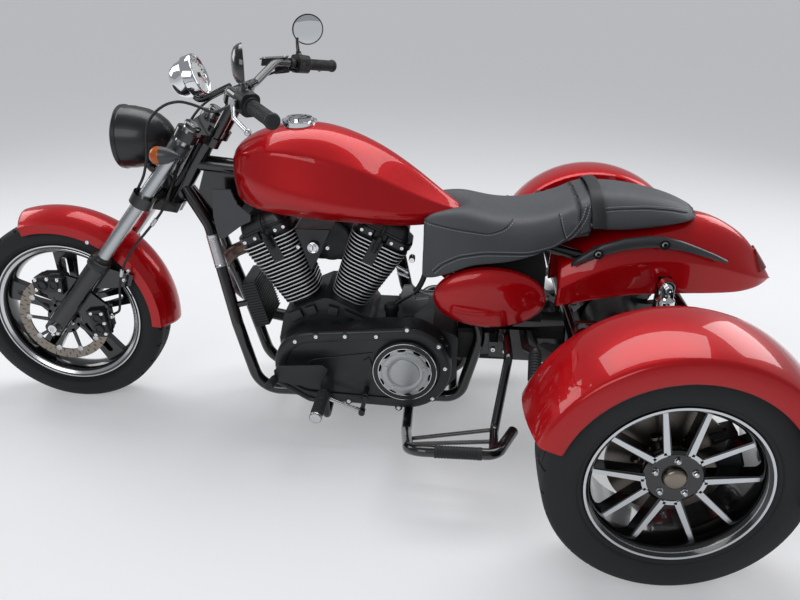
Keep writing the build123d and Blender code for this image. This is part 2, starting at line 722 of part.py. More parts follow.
# Primary cover: left side case round the crank and the clutch
primary_front = (850.0, 245.0, 124.0)
primary_rear = (1140.0, 250.0, 143.0)
primary_inner_y = -case_half_width - fit_gap
primary_outer_y = -200.0
with BuildPart() as primary_cover:
    with BuildSketch(side(primary_inner_y)):
        with BuildLine():
            x1, z1, r1 = primary_front
            x2, z2, r2 = primary_rear
            tilt = atan2(z2 - z1, x2 - x1)
            spread = tilt + radians(90) + atan2(r2 - r1, hypot(x2 - x1, z2 - z1))
            lower = 2 * tilt - spread
            top = Line((x1 + r1 * cos(spread), z1 + r1 * sin(spread)),
                       (x2 + r2 * cos(spread), z2 + r2 * sin(spread)))
            back = ThreePointArc(top @ 1, (x2 + r2 * cos(tilt), z2 + r2 * sin(tilt)),
                                 (x2 + r2 * cos(lower), z2 + r2 * sin(lower)))
            under = Line(back @ 1, (x1 + r1 * cos(lower), z1 + r1 * sin(lower)))
            ThreePointArc(under @ 1, (x1 - r1 * cos(tilt), z1 - r1 * sin(tilt)), top @ 0)
        make_face()
    extrude(amount=primary_inner_y - primary_outer_y)
    chamfer(faces().sort_by(Axis.Y)[0].edges(), 14)
save(primary_cover.part, "primary_cover")

clutch_ring_r = 104.0
clutch_disc_r = 83.0
with BuildPart() as clutch_cover:
    with BuildSketch(side(primary_outer_y - fit_gap)):
        with Locations((1138, 252)):
            Circle(clutch_ring_r)
    extrude(amount=10)
    with BuildSketch(side(primary_outer_y - fit_gap - 10)):
        with Locations((1138, 252)):
            Circle(clutch_disc_r)
    extrude(amount=8)
save(clutch_cover.part, "clutch_cover")

# Cam cover: right side case at the crank, with the gearbox's side cover behind it
with BuildPart() as cam_cover:
    with BuildSketch(side(case_half_width + fit_gap)):
        with Locations((crank_station + 6, crank_height + 6)):
            Circle(112)
        with Locations((crank_station, crank_height + 92)):
            RectangleRounded(150, 60, 20)
    extrude(amount=-52)
    with BuildSketch(side(case_half_width + fit_gap)):
        with Locations((1170, 270)):
            Circle(86)
    extrude(amount=-40)
save(cam_cover.part, "cam_cover")

# Intake box between the cylinders' tops: a left triangular cover with a round lock, and
# the round air cleaner on the right
with BuildPart() as intake_cover:
    with BuildSketch(side(-fin_width / 2 - fit_gap)):
        with BuildLine():
            Polyline((736, 668), (896, 668), (822, 530), close=True)
        make_face()
        fillet(vertices(), 14)
    extrude(amount=22)
    with BuildSketch(side(-fin_width / 2 - fit_gap - 22)):
        with Locations((853, 622)):
            Circle(17)
    extrude(amount=12)
save(intake_cover.part, "intake_cover")

with BuildPart() as air_cleaner:
    with BuildSketch(side(fin_width / 2 + fit_gap)):
        with Locations((crank_station - 10, 560)):
            Circle(62)
    extrude(amount=-40)
    with BuildSketch(side(fin_width / 2 + fit_gap + 40)):
        with Locations((crank_station - 10, 560)):
            SlotOverall(236, 150)
    extrude(amount=-74, taper=9)
save(air_cleaner.part, "air_cleaner")

# Exhaust: a header from each head, run down the right side into its own muffler
header_d = 44.0
muffler_d = 84.0
muffler_y = 222.0
mufflers = ((200.0, 930.0, 1560.0), (292.0, 1090.0, 1620.0))
port_distance = head_base - 16
with BuildPart() as exhaust:
    port = cylinder_plane(-1, port_distance)
    tube([port.from_local_coords(Vector(-fin_length / 2 - fit_gap, 26, 0)),
          port.from_local_coords(Vector(-fin_length / 2 - 70, 26, 0)),
          at(500, 60, 470), at(512, 140, 372),
          at(610, 208, 232), at(740, muffler_y, 200), at(mufflers[0][1] + 20, muffler_y, mufflers[0][0])],
         header_d, [44, 60, 70, 70, 80])
    port = cylinder_plane(1, port_distance)
    tube([port.from_local_coords(Vector(0, fin_width / 2 + fit_gap, 0)),
          port.from_local_coords(Vector(0, fin_width / 2 + 74, 0)),
          at(1090, 218, 470), at(1120, muffler_y, 330), at(1250, muffler_y, mufflers[1][0])],
         header_d, [46, 60, 50])
    for height, front, rear in mufflers:
        with BuildSketch(Plane(origin=at(front, muffler_y, height), z_dir=(1, 0, 0))):
            Circle(header_d / 2 + 3)
        with BuildSketch(Plane(origin=at(front + 90, muffler_y, height), z_dir=(1, 0, 0))):
            Circle(muffler_d / 2)
        loft()
        rod(at(front + 90, muffler_y, height), at(rear, muffler_y, height), muffler_d)
        rod(at(rear - 60, muffler_y, height), at(rear + 1, muffler_y, height), muffler_d - 16,
            mode=Mode.SUBTRACT)
save(exhaust.part, "exhaust")

# Oil cooler: finned block ahead of the crankcase, between the downtubes
with BuildPart() as oil_cooler:
    with BuildSketch(side(78)):
        with BuildLine():
            Polyline((606, 468), (648, 478), (688, 328), (646, 316), close=True)
        make_face()
    extrude(amount=156)
save(oil_cooler.part, "oil_cooler")

# Battery box between the frame uprights, with the side covers' pins
box_half_y = 68.0
cover_centre = (1388.0, 481.0)
cover_axes = (171.0, 100.0)
cover_inner_y = 132.0
cover_pins = ((1430.0, 430.0), (1490.0, 500.0), (1410.0, 520.0))
with BuildPart() as battery_box:
    with BuildSketch(side(box_half_y)):
        with BuildLine():
            Polyline((1316, box_bottom), (1300, 640), (1540, 640), (1560, 560), (1560, box_bottom), close=True)
        make_face()
    extrude(amount=2 * box_half_y)
    for hand in (-1, 1):
        for station, height in cover_pins:
            rod(at(station, hand * (box_half_y - 1), height),
                at(station, hand * (cover_inner_y - fit_gap), height), 16)
save(battery_box.part, "battery_box")

# Side covers: a domed oval panel on each side
with BuildPart() as side_covers:
    for hand in (-1, 1):
        with BuildSketch(side(hand * cover_inner_y)) as oval:
            with Locations(cover_centre):
                Ellipse(*cover_axes)
        with BuildSketch(side(hand * (cover_inner_y + 22))) as waist:
            with Locations(cover_centre):
                Ellipse(cover_axes[0] - 12, cover_axes[1] - 11)
        with BuildSketch(side(hand * (cover_inner_y + 36))) as crown:
            with Locations(cover_centre):
                Ellipse(cover_axes[0] - 52, cover_axes[1] - 44)
        loft(sections=[oval.sketch, waist.sketch, crown.sketch])
save(side_covers.part, "side_covers")

# Fuel tank: a teardrop lofted through its cross-sections, over a tunnel for the backbone
# Columns: station, bottom, top, half width
tank_sections = (
    (598, 748, 884, 62),
    (672, 722, 942, 136),
    (827, 706, 972, 170),
    (1000, 688, 930, 152),
    (1160, 682, 840, 106),
    (1297, 700, 734, 34),
)
hollow_half_y = 74.0
cap_station = 800.0
cap_floor = 960.0
cap_plate_r = 52.0
with BuildPart() as fuel_tank:
    for station, bottom, top, half in tank_sections:
        rise = top - bottom
        with BuildSketch(across(station)):
            with BuildLine():
                base = Line((-half * 0.66, bottom), (half * 0.66, bottom))
                right = ThreePointArc(base @ 1, (half, bottom + rise * 0.38), (half * 0.7, bottom + rise * 0.84))
                crest = ThreePointArc(right @ 1, (0, top), (-half * 0.7, bottom + rise * 0.84))
                ThreePointArc(crest @ 1, (-half, bottom + rise * 0.38), base @ 0)
            make_face()
    loft()
    with BuildSketch(side(hollow_half_y)):
        with BuildLine():
            Polyline((580, 600), (580, 744), (1050, 744), (1190, 682), (1204, 600), close=True)
        make_face()
    extrude(amount=2 * hollow_half_y, mode=Mode.SUBTRACT)
    with BuildSketch(side(tunnel_half_y)):
        with BuildLine():
            Polyline((580, 600), (580, 860), (760, 846), (1100, 799), (1266, 744), (1266, 600), close=True)
        make_face()
    extrude(amount=2 * tunnel_half_y, mode=Mode.SUBTRACT)
    with BuildSketch(level(cap_floor)):
        with Locations((cap_station, 0)):
            Circle(cap_plate_r + fit_gap)
    extrude(amount=60, mode=Mode.SUBTRACT)
save(fuel_tank.part, "fuel_tank")

# Filler cap on the tank's top
with BuildPart() as fuel_cap:
    with BuildSketch(level(cap_floor + fit_gap)):
        with Locations((cap_station, 0)):
            Circle(cap_plate_r)
    extrude(amount=16)
    with BuildSketch(level(cap_floor + fit_gap + 16)):
        with Locations((cap_station, 0)):
            Circle(cap_plate_r - 12)
    extrude(amount=9, taper=12)
save(fuel_cap.part, "fuel_cap")

# Rider's seat: a dished pad on the seat rails with a skirt over the frame on each side
seat_base = seat_rail_height + seat_rail_d / 2 + fit_gap
seat_half_w = 158.0
pad_split = 1674.0
with BuildPart() as rider_seat:
    with BuildSketch(side(seat_half_w)):
        with BuildLine():
            low = Polyline((1312, 762), (1312, seat_base), (pad_split - 2, seat_base), (pad_split - 2, 806))
            hump = ThreePointArc(low @ 1, (1560, 752), (1440, 733))
            ThreePointArc(hump @ 1, (1372, 740), low @ 0)
        make_face()
    extrude(amount=2 * seat_half_w)
    for hand in (-1, 1):
        with BuildSketch(side(hand * 128)):
            with BuildLine():
                Polyline((1178, 728), (1186, 540), (1240, 550), (1300, 579), (1388, 590), (1440, 588),
                         (1600, seat_base + 20), (1320, seat_base + 30), (1240, 728), close=True)
            make_face()
        extrude(amount=-hand * (seat_half_w - 128))
save(rider_seat.part, "rider_seat")

# Centre rear fender: a shell lofted through its cross-sections, with a ridge along each side
# under a tall crown, run out to a narrow tail
# Columns: station, lower edge, ridge, crest, half width
centre_fender_sections = (
    (1592, 446, 503, 606, 110),
    (1680, 472, 558, 668, 118),
    (1790, 496, 600, 708, 120),
    (1910, 508, 615, 739, 120),
    (2030, 512, 604, 728, 116),
    (2130, 514, 578, 684, 102),
    (2205, 530, 548, 618, 80),
    (wheelbase + tail_reach, 538, 542, 556, 56),
)
centre_fender_half_w = 120.0


def centre_fender_body(grow, drop):
    """Solid the fender's outside bounds, grown all round and lengthened downwards by drop."""
    with BuildPart(mode=Mode.PRIVATE) as body:
        for station, lower, ridge, crest, half in centre_fender_sections:
            with BuildSketch(across(station)):
                with BuildLine():
                    base = Line((-half - grow + 6, lower - drop), (half + grow - 6, lower - drop))
                    right = Line(base @ 1, (half + grow, ridge + grow / 2))
                    crown = ThreePointArc(right @ 1, (0, crest + grow), (-half - grow, ridge + grow / 2))
                    Line(crown @ 1, base @ 0)
                make_face()
        loft()
    return body.part


with BuildPart() as rear_fender:
    add(centre_fender_body(0, 0))
    add(centre_fender_body(-fender_sheet, 6), mode=Mode.SUBTRACT)
save(rear_fender.part, "rear_fender")

# Pillion pad astride the fender's crown
pillion_half_w = 122.0
with BuildPart() as pillion_seat:
    with BuildSketch(side(pillion_half_w)):
        with BuildLine():
            back = Line((1990, 700), (1984, 750))
            top = ThreePointArc(back @ 1, (1840, 800), (pad_split + 2, 806))
            Polyline(top @ 1, (pad_split + 2, 686), (1760, 682), back @ 0)
        make_face()
    extrude(amount=2 * pillion_half_w)
    add(centre_fender_body(fit_gap, 0), mode=Mode.SUBTRACT)
save(pillion_seat.part, "pillion_seat")

# Tail light: a narrow band across the tail, following the crown
lens_t = 7.0
with BuildPart() as tail_light:
    with BuildSketch(side(62)):
        with BuildLine():
            Polyline((2168, 690), (2196, 700), (2246, 600), (2236, 556), close=True)
        make_face()
    extrude(amount=124)
    add(centre_fender_body(lens_t, 0), mode=Mode.INTERSECT)
    add(centre_fender_body(fit_gap, 0), mode=Mode.SUBTRACT)
save(tail_light.part, "tail_light")

# Grab rails: a tapered cast bar on each side of the fender, on two standoffs
rail_bolts = ((1689.0, 640.0), (1849.0, 664.0))
rail_inner_y = centre_fender_half_w + 12
with BuildPart() as grab_rails:
    for hand in (-1, 1):
        with BuildSketch(side(hand * rail_inner_y)):
            with BuildLine():
                upper = ThreePointArc((1621, 596), (1780, 682), (1974, 630))
                lower = ThreePointArc(upper @ 1, (1782, 646), (1630, 590))
                Line(lower @ 1, upper @ 0)
            make_face()
        extrude(amount=-hand * 20)
        for station, height in rail_bolts:
            rod(at(station, hand * (centre_fender_half_w - 50), height),
                at(station, hand * (rail_inner_y + 1), height), 26)
            rod(at(station, hand * (rail_inner_y + 1), height),
                at(station, hand * (rail_inner_y + 22), height), 30)
    add(centre_fender_body(fit_gap, 0), mode=Mode.SUBTRACT)
save(grab_rails.part, "grab_rails")

# Rear chassis: two beams bolted to the frame's lugs, an axle carrier on each, cross tubes
# that carry the fenders, and the shock towers
beam_inner_y = lug_half_y + fit_gap
beam_t = 34.0
shock_y = 158.0
shock_top = (1903.0, 548.0)
shock_foot = (1914.0, 352.0)
front_cross = (1640.0, 400.0)
rear_cross = (1990.0, 440.0)
cross_half_y = 562.0
arm_height = 362.0
arm_inner_y = 145.0
tower_inner_y = centre_fender_half_w + fit_gap
tower_t = 10.0
rear_hub_z = rear_tyre_r
with BuildPart() as rear_chassis:
    for hand in (-1, 1):
        with BuildSketch(side(hand * beam_inner_y)):
            with BuildLine():
                Polyline((1398, 276), (1700, 252), (1930, 252), (1990, 330), (1990, 380), (1930, 372),
                         (1740, 386), (1690, 330), (1398, 326), close=True)
            make_face()
            with Locations((wheelbase, rear_hub_z)):
                Circle(housing_d / 2 + fit_gap, mode=Mode.SUBTRACT)
        extrude(amount=-hand * beam_t)
        mid_y = hand * (beam_inner_y + beam_t / 2)
        rod(at(front_cross[0], mid_y, 316), at(front_cross[0], mid_y, front_cross[1]), 30)
        rod(at(rear_cross[0] - 16, mid_y, 370), at(rear_cross[0], mid_y, rear_cross[1]), 30)
        # Upright plate that carries the peg and the step
        with BuildSketch(side(hand * (beam_inner_y + beam_t - 10))):
            with BuildLine():
                Polyline((1424, 290), (1560, 290), (1520, 379), (1424, 379), close=True)
            make_face()
        extrude(amount=-hand * (arm_inner_y - beam_inner_y - beam_t + 10))
        # Shock tower, foot pin and top pin
        with BuildSketch(side(hand * tower_inner_y)):
            with BuildLine():
                Polyline((1876, 350), (1936, 350), (1922, shock_top[1] + 18), (1884, shock_top[1] + 18),
                         close=True)
            make_face()
        extrude(amount=-hand * tower_t)
        for station, height in (shock_foot, shock_top):
            rod(at(station, hand * (tower_inner_y + 4), height),
                at(station, hand * (shock_y + 26), height), 16)
    for station, height in (front_cross, rear_cross):
        rod(at(station, -cross_half_y, height), at(station, cross_half_y, height), 34)
save(rear_chassis.part, "rear_chassis")

# Rear axle: differential housing, axle tubes and a spindle at each end
wheel_y = rear_track / 2
diff_half_w = 86.0
spindle_in = 44.0
flange_half_d = 60.0
flange_depth = 14.0
with BuildPart() as rear_axle:
    rod(at(wheelbase, -wheel_y + spindle_in, rear_hub_z), at(wheelbase, wheel_y - spindle_in, rear_hub_z),
        housing_d)
    rod(at(wheelbase, -wheel_y - 50, rear_hub_z), at(wheelbase, wheel_y + 50, rear_hub_z), spindle_d)
    rod(at(wheelbase, -diff_half_w, rear_hub_z), at(wheelbase, diff_half_w, rear_hub_z), 190)
    for hand in (-1, 1):
        rod(at(wheelbase, hand * (wheel_y - spindle_in - flange_depth), rear_hub_z),
            at(wheelbase, hand * (wheel_y - spindle_in), rear_hub_z), 2 * flange_half_d)
save(rear_axle.part, "rear_axle")

# Shock absorbers: chrome clevis over a covered spring
with BuildPart() as shock_absorbers:
    for hand in (-1, 1):
        top = at(shock_top[0], hand * shock_y, shock_top[1])
        foot = at(shock_foot[0], hand * shock_y, shock_foot[1])
        up = (top - foot).normalized()
        rod(foot + up * 22, foot + up * 130, 46)
        rod(foot + up * 130, foot + up * 150, 50)
        rod(foot + up * 150, top - up * 20, 30)
        for end in (foot, top):
            rod(end - Vector(0, 15, 0), end + Vector(0, 15, 0), 46)
        rod(foot, foot + up * 30, 30)
        rod(top - up * 30, top, 30)
        for end in (foot, top):
            rod(end - Vector(0, 16, 0), end + Vector(0, 16, 0), 16 + 2 * fit_gap, mode=Mode.SUBTRACT)
save(shock_absorbers.part, "shock_absorbers")

# Trike fenders: one over each rear wheel, with a crease above the side lip
trike_fender_start = -8.0
trike_fender_sweep = 170.0
with BuildPart() as trike_fenders:
    for hand in (-1, 1):
        hub = at(wheelbase, 0, rear_hub_z)
        with BuildSketch(wheel_plane(hub, trike_fender_start)):
            for inset, mode in ((0, Mode.ADD), (fender_sheet, Mode.SUBTRACT)):
                outer = hand * (trike_fender_y - inset)
                inner = hand * (trike_fender_inner_y + inset)
                with BuildLine():
                    lip = Line((trike_fender_lip_r - inset, outer), (trike_fender_crease_r - inset, outer))
                    crown = ThreePointArc(
                        lip @ 1, (trike_fender_crown_r - inset, hand * (trike_fender_inner_y + 90)),
                        (trike_fender_crown_r - 12 - inset, inner))
                    flange = Line(crown @ 1, (trike_fender_crown_r - 36 - inset * 2, inner))
                    Line(flange @ 1, lip @ 0)
                make_face(mode=mode)
        revolve(axis=axle_line(hub), revolution_arc=trike_fender_sweep)
save(trike_fenders.part, "trike_fenders")

# Fender stays: from the cross tubes' ends to the inner edge of each trike fender
with BuildPart() as fender_stays:
    for hand in (-1, 1):
        for station, height, angle in ((*front_cross, 128), (*rear_cross, 40)):
            turn = radians(angle)
            reach = trike_fender_crown_r - 26
            head = at(wheelbase + reach * cos(turn), hand * (trike_fender_inner_y - 12),
                      rear_hub_z + reach * sin(turn))
            foot = at(station, hand * (cross_half_y + 12), height)
            rod(foot - Vector(0, hand * (12 - fit_gap), 0), foot + Vector(0, hand * 12, 0), 40)
            tube([foot, (foot + head) * 0.5 + Vector(0, hand * 0.5, 0), head], 20, 400)
            rod(head - Vector(0, hand * 10, 0), head + Vector(0, hand * (12 - fit_gap), 0), 40)
save(fender_stays.part, "fender_stays")


# Rear wheels: five pairs of narrow spokes on a deep rim, a lugged pad and a plain cap
rear_inner_r = 192.0
pad_face = 62.0
pair_spread = 18.0
hub_bore = spindle_d / 2 + fit_gap


def rear_rim(hand):
    hub = at(wheelbase, hand * wheel_y, rear_hub_z)
    rim_ring(hub, rear_rim_w, rear_inner_r)
    face_y = hub.Y + hand * pad_face
    back_y = face_y - hand * 30
    with BuildSketch(face_plane(hub, face_y)) as spokes:
        for pair in range(5):
            middle = 90 + 36 + 72 * pair
            for lean in (-1, 1):
                tip = radians(middle + lean * pair_spread)
                root = radians(middle + lean * 9)
                a = Vector(cos(root) * (pad_r - 8), sin(root) * (pad_r - 8), 0)
                b = Vector(cos(tip) * (rear_inner_r + 3), sin(tip) * (rear_inner_r + 3), 0)
                across_dir = Vector(-(b - a).Y, (b - a).X, 0).normalized()
                with BuildLine():
                    Polyline(a + across_dir * 11, b + across_dir * 8, b - across_dir * 8,
                             a - across_dir * 11, close=True)
                make_face()
        Circle(pad_r)
    extrude(spokes.sketch, amount=hand * 30)
    with BuildSketch(face_plane(hub, face_y)) as lugs:
        with PolarLocations(lug_circle_r, 5, start_angle=18):
            Circle(10)
    extrude(lugs.sketch, amount=hand * 12, mode=Mode.SUBTRACT)
    rod(Vector(hub.X, face_y - hand * 1, hub.Z), Vector(hub.X, face_y + hand * 12, hub.Z), cap_r * 2)
    rod(Vector(hub.X, hub.Y - hand * 24, hub.Z), Vector(hub.X, back_y + hand * 1, hub.Z), 96)
    rod(Vector(hub.X, hub.Y - hand * 25, hub.Z), Vector(hub.X, hub.Y + hand * (50 + run_gap), hub.Z),
        hub_bore * 2, mode=Mode.SUBTRACT)


rear_disc_in = 13.0
rear_disc_t = 10.0


def rear_brake_disc(hand):
    hub = at(wheelbase, hand * wheel_y, rear_hub_z)
    with BuildSketch(face_plane(hub, hub.Y - hand * (rear_disc_in - rear_disc_t / 2))) as ring:
        Circle(rear_disc_r)
        Circle(48 + fit_gap, mode=Mode.SUBTRACT)
        with PolarLocations(78, 6):
            Circle(12, mode=Mode.SUBTRACT)
    extrude(ring.sketch, amount=hand * rear_disc_t)


for hand, word in ((-1, "left"), (1, "right")):
    hub = at(wheelbase, hand * wheel_y, rear_hub_z)
    with BuildPart() as rear_tyre:
        tyre(hub, rear_tyre_r, rear_tyre_w, rear_rim_w, 16, 86)
    save(rear_tyre.part, f"rear_{word}_tyre")
    with BuildPart() as rim:
        rear_rim(hand)
    save(rim.part, f"rear_{word}_rim")
    with BuildPart() as disc:
        rear_brake_disc(hand)
    save(disc.part, f"rear_{word}_disc")

# Rear calipers: one behind each axle end, on a bracket round the housing's flange
rear_caliper_angle = 20.0
with BuildPart() as rear_calipers:
    for hand in (-1, 1):
        hub = at(wheelbase, hand * wheel_y, rear_hub_z)
        with BuildPart(mode=Mode.PRIVATE) as one:
            with BuildSketch(face_plane(hub, hub.Y - hand * (spindle_in + flange_depth))):
                with Locations(Location((0, 0), rear_caliper_angle)):
                    with Locations((100, 0)):
                        Rectangle(110, 64)
                Circle(flange_half_d + 24)
                Circle(flange_half_d + fit_gap, mode=Mode.SUBTRACT)
            extrude(amount=-hand * (flange_depth + 2))
            caliper(hub, hub.Y - hand * rear_disc_in, rear_disc_t + 4 * run_gap, rear_disc_r + 6,
                    rear_caliper_angle, 138, 96, 30)
        add(one.part)
save(rear_calipers.part, "rear_calipers")

# Belt guard: closed casing over the belt from the gearbox to the differential
with BuildPart() as belt_guard:
    with BuildSketch(side(-38)):
        with BuildLine():
            Polyline((1300 + fit_gap, 232), (1300 + fit_gap, 322), (1560, 340), (1700, 354), (1700, 230),
                     close=True)
        make_face()
    extrude(amount=30)
save(belt_guard.part, "belt_guard")

# Side steps: a bent tube each side with two thin rungs, on a strut from the chassis
step_height = 200.0
step_tube_d = 32.0
step_y = 545.0
with BuildPart() as side_steps:
    for hand in (-1, 1):
        tube([at(1150, hand * (tab_outer_y + fit_gap), rail_height - 12), at(1150, hand * 290, rail_height - 12),
              at(1170, hand * step_y, step_height),
              at(1410, hand * step_y, step_height), at(1461, hand * 430, step_height)],
             step_tube_d, [90, 50, 46])
        tube([at(1446, hand * (arm_inner_y + fit_gap), arm_height), at(1446, hand * 290, arm_height),
              at(1408, hand * 428, step_height), at(1400, hand * step_y, step_height)], 26, [50, 40])
        for start, end in (((1159, 400, 134), (1408, 428, 201)), ((1164, 470, 166), (1404, 486, 201))):
            rod(at(start[0], hand * start[1], start[2]), at(end[0], hand * end[1], end[2]), 12)
save(side_steps.part, "side_steps")

# Passenger pegs: on arms from the chassis
with BuildPart() as passenger_pegs:
    for hand in (-1, 1):
        tube([at(1500, hand * (arm_inner_y + fit_gap), arm_height), at(1500, hand * 225, arm_height),
              at(1524, hand * 268, arm_height + 8)], 24, 30)
        rod(at(1524, hand * 266, arm_height + 8), at(1516, hand * 372, 324), 34)
        rod(at(1516, hand * 372, 324), at(1515.4, hand * 380, 320), 37)
save(passenger_pegs.part, "passenger_pegs")

# Foot controls: a peg on each side, the shift lever and rod on the left and the brake pedal
# on the right
with BuildPart() as foot_controls:
    for hand, reach in ((-1, 0), (1, 20)):
        tube([at(tab_stations[0], hand * (tab_outer_y + fit_gap), rail_height - 6),
              at(894, hand * (236 + reach), rail_height - 6), at(894, hand * (264 + reach), 198)], 24, 30)
        rod(at(894, hand * (262 + reach), 198), at(886, hand * (378 + reach), 182), 34)
        rod(at(886, hand * (378 + reach), 182), at(885.6, hand * (386 + reach), 181), 37)
    tube([at(902, -246, 160), at(846, -236, 150), at(736, -232, 214)], 16, 40)
    rod(at(736, -214, 214), at(726, -286, 222), 24)
    rod(at(905, -250, 165), at(1008, -250, 124), 10)
    rod(at(1008, -262, 124), at(1008, -238, 124), 20)
    rod(at(1008, -242, 124), at(1018, -242, 176), 14)
    rod(at(1018, -242, 176), at(1018, primary_outer_y - fit_gap, 176), 16)
    tube([at(902, 278, 160), at(846, 284, 150), at(736, 284, 214)], 16, 40)
    with BuildSketch(level(212)):
        with Locations((728, 290)):
            RectangleRounded(60, 74, 14)
    extrude(amount=14)
save(foot_controls.part, "foot_controls")
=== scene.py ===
import bmesh
import bpy
from math import atan2, cos, radians, sin, tau
from mathutils import Matrix, Vector


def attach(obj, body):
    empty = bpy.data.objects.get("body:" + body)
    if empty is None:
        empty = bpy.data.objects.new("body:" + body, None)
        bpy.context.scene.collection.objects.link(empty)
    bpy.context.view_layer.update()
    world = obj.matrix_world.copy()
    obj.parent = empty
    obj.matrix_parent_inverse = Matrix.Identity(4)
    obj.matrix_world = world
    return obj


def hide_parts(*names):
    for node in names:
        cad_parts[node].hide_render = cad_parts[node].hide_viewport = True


# A red cruiser trike. Lengths in the tables are millimetres: a station is a distance behind
# the front axle, y is to the right of the middle plane and z is above the ground.
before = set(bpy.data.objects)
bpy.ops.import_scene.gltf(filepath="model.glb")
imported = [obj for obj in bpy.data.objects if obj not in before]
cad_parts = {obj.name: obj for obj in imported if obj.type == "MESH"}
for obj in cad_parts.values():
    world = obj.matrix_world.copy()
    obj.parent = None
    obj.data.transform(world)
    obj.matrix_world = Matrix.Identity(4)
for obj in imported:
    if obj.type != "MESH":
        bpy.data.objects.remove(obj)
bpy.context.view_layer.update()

# Camera at the photograph's view: a 34 mm lens to the left of the machine, looking down on it.
# Its angles and focal length in pixels come from a fit to points seen in the photograph
FRONT_AXLE_X = -965.0


def at(station, y, z):
    """Point in metres from a station, a y and a height in millimetres."""
    return Vector(((station + FRONT_AXLE_X) / 1000, y / 1000, z / 1000))


camera_yaw, camera_pitch, camera_roll = radians(-3.64), radians(24.9), radians(0.74)
FOCAL_PX, IMAGE_WIDTH, SENSOR_WIDTH = 757.7, 800, 36
forward = Vector((sin(camera_yaw) * cos(camera_pitch), cos(camera_yaw) * cos(camera_pitch), -sin(camera_pitch)))
level_right = forward.cross(Vector((0, 0, 1))).normalized()
level_up = level_right.cross(forward)
right = level_right * cos(camera_roll) + level_up * sin(camera_roll)
up = level_up * cos(camera_roll) - level_right * sin(camera_roll)
camera_data = bpy.data.cameras.new("camera")
camera_data.sensor_width = SENSOR_WIDTH
camera_data.lens = SENSOR_WIDTH * FOCAL_PX / IMAGE_WIDTH
camera = bpy.data.objects.new("camera", camera_data)
camera.matrix_world = Matrix(((right.x, up.x, -forward.x, 0), (right.y, up.y, -forward.y, 0),
    (right.z, up.z, -forward.z, 0), (0, 0, 0, 1)))
camera.location = at(1250.0, -2246.0, 1442.0)
bpy.context.scene.collection.objects.link(camera)
bpy.context.scene.camera = camera

# Studio: a wide pale floor in smooth paint, a pale surround and four soft lamps, so that the
# gloss paint and the chrome have something light to mirror
bpy.context.scene.view_settings.view_transform = "Standard"


def srgb(hex_colour):
    """Linear colour from an sRGB hex word."""
    values = [int(hex_colour[i:i + 2], 16) / 255 for i in (1, 3, 5)]
    return tuple(v / 12.92 if v <= 0.04045 else ((v + 0.055) / 1.055) ** 2.4 for v in values) + (1.0,)


def add_node(tree, kind, sockets=None, **settings):
    """Node with its settings; sockets gives an input's value, or the output linked into it."""
    node = tree.nodes.new("ShaderNode" + kind)
    for name, value in settings.items():
        setattr(node, name, value)
    for name, value in (sockets or {}).items():
        if isinstance(value, bpy.types.NodeSocket):
            tree.links.new(value, node.inputs[name])
        else:
            node.inputs[name].default_value = value
    return node


def plain_surface(name, slot, colour, roughness, metallic=0.0, coat=0.0, **more):
    """Material with its name and its shader's sockets; slot is not used. Returns it, its tree and shader."""
    made = bpy.data.materials.new(name)
    made.use_nodes = True
    shader = made.node_tree.nodes["Principled BSDF"]
    values = {"Base Color": srgb(colour), "Roughness": roughness, "Metallic": metallic, "Coat Weight": coat, **more}
    for socket, value in values.items():
        shader.inputs[socket].default_value = value
    return made, made.node_tree, shader


def noise(tree, place, scale, detail):
    """Noise at a place, in waves a metre, with its octaves."""
    return add_node(tree, "TexNoise", {"Vector": place, "Scale": scale, "Detail": detail})


def grained(name, slot, colour, roughness, metallic=0.0, coat=0.0, grain_mm=1.0, depth_mm=0.05, spread=0.06):
    """Paint, plate or casting: a fine grain in its height, and a roughness that drifts slowly."""
    made, tree, shader = plain_surface(name, slot, colour, roughness, metallic, coat)
    place = add_node(tree, "TexCoord").outputs["Object"]
    grain = noise(tree, place, 1000 / grain_mm, 4.0)
    bump = add_node(tree, "Bump", {"Height": grain.outputs["Fac"], "Distance": depth_mm / 1000})
    drift = noise(tree, place, 14.0, 3.0)
    rough = add_node(tree, "MapRange", {"Value": drift.outputs["Fac"],
                     "From Min": 0.35, "From Max": 0.65, "To Min": max(roughness - spread, 0.0),
                     "To Max": roughness + spread})
    tree.links.new(bump.outputs["Normal"], shader.inputs["Normal"])
    tree.links.new(rough.outputs["Result"], shader.inputs["Roughness"])
    return made


FLOOR_HALF = 60
# Share of its paint's brightness that the floor also gives off, to rays from the camera and
# from mirrors and glass alone, so that it stays pale and lights nothing
FLOOR_GLOW = 0.34
floor_shape = bmesh.new()
bmesh.ops.create_grid(floor_shape, x_segments=1, y_segments=1, size=FLOOR_HALF)
floor_data = bpy.data.meshes.new("studio_floor")
floor_shape.to_mesh(floor_data)
floor_shape.free()
studio_floor = bpy.data.objects.new("studio_floor", floor_data)
floor_paint = grained("pale_floor_paint", None, "#D6D7D9", 0.75, grain_mm=5, spread=0.05)
tree = floor_paint.node_tree
seen = add_node(tree, "LightPath")
direct = add_node(tree, "Math", {0: seen.outputs["Is Camera Ray"], 1: seen.outputs["Is Glossy Ray"]},
                  operation="MAXIMUM")
through = add_node(tree, "Math", {0: direct.outputs["Value"], 1: seen.outputs["Is Transmission Ray"]},
                   operation="MAXIMUM")
share = add_node(tree, "Math", {0: through.outputs["Value"], 1: FLOOR_GLOW}, operation="MULTIPLY")
glow = add_node(tree, "Emission", {"Color": srgb("#E9EAEC"), "Strength": share.outputs["Value"]})
both = add_node(tree, "AddShader")
tree.links.new(tree.nodes["Principled BSDF"].outputs["BSDF"], both.inputs[0])
tree.links.new(glow.outputs["Emission"], both.inputs[1])
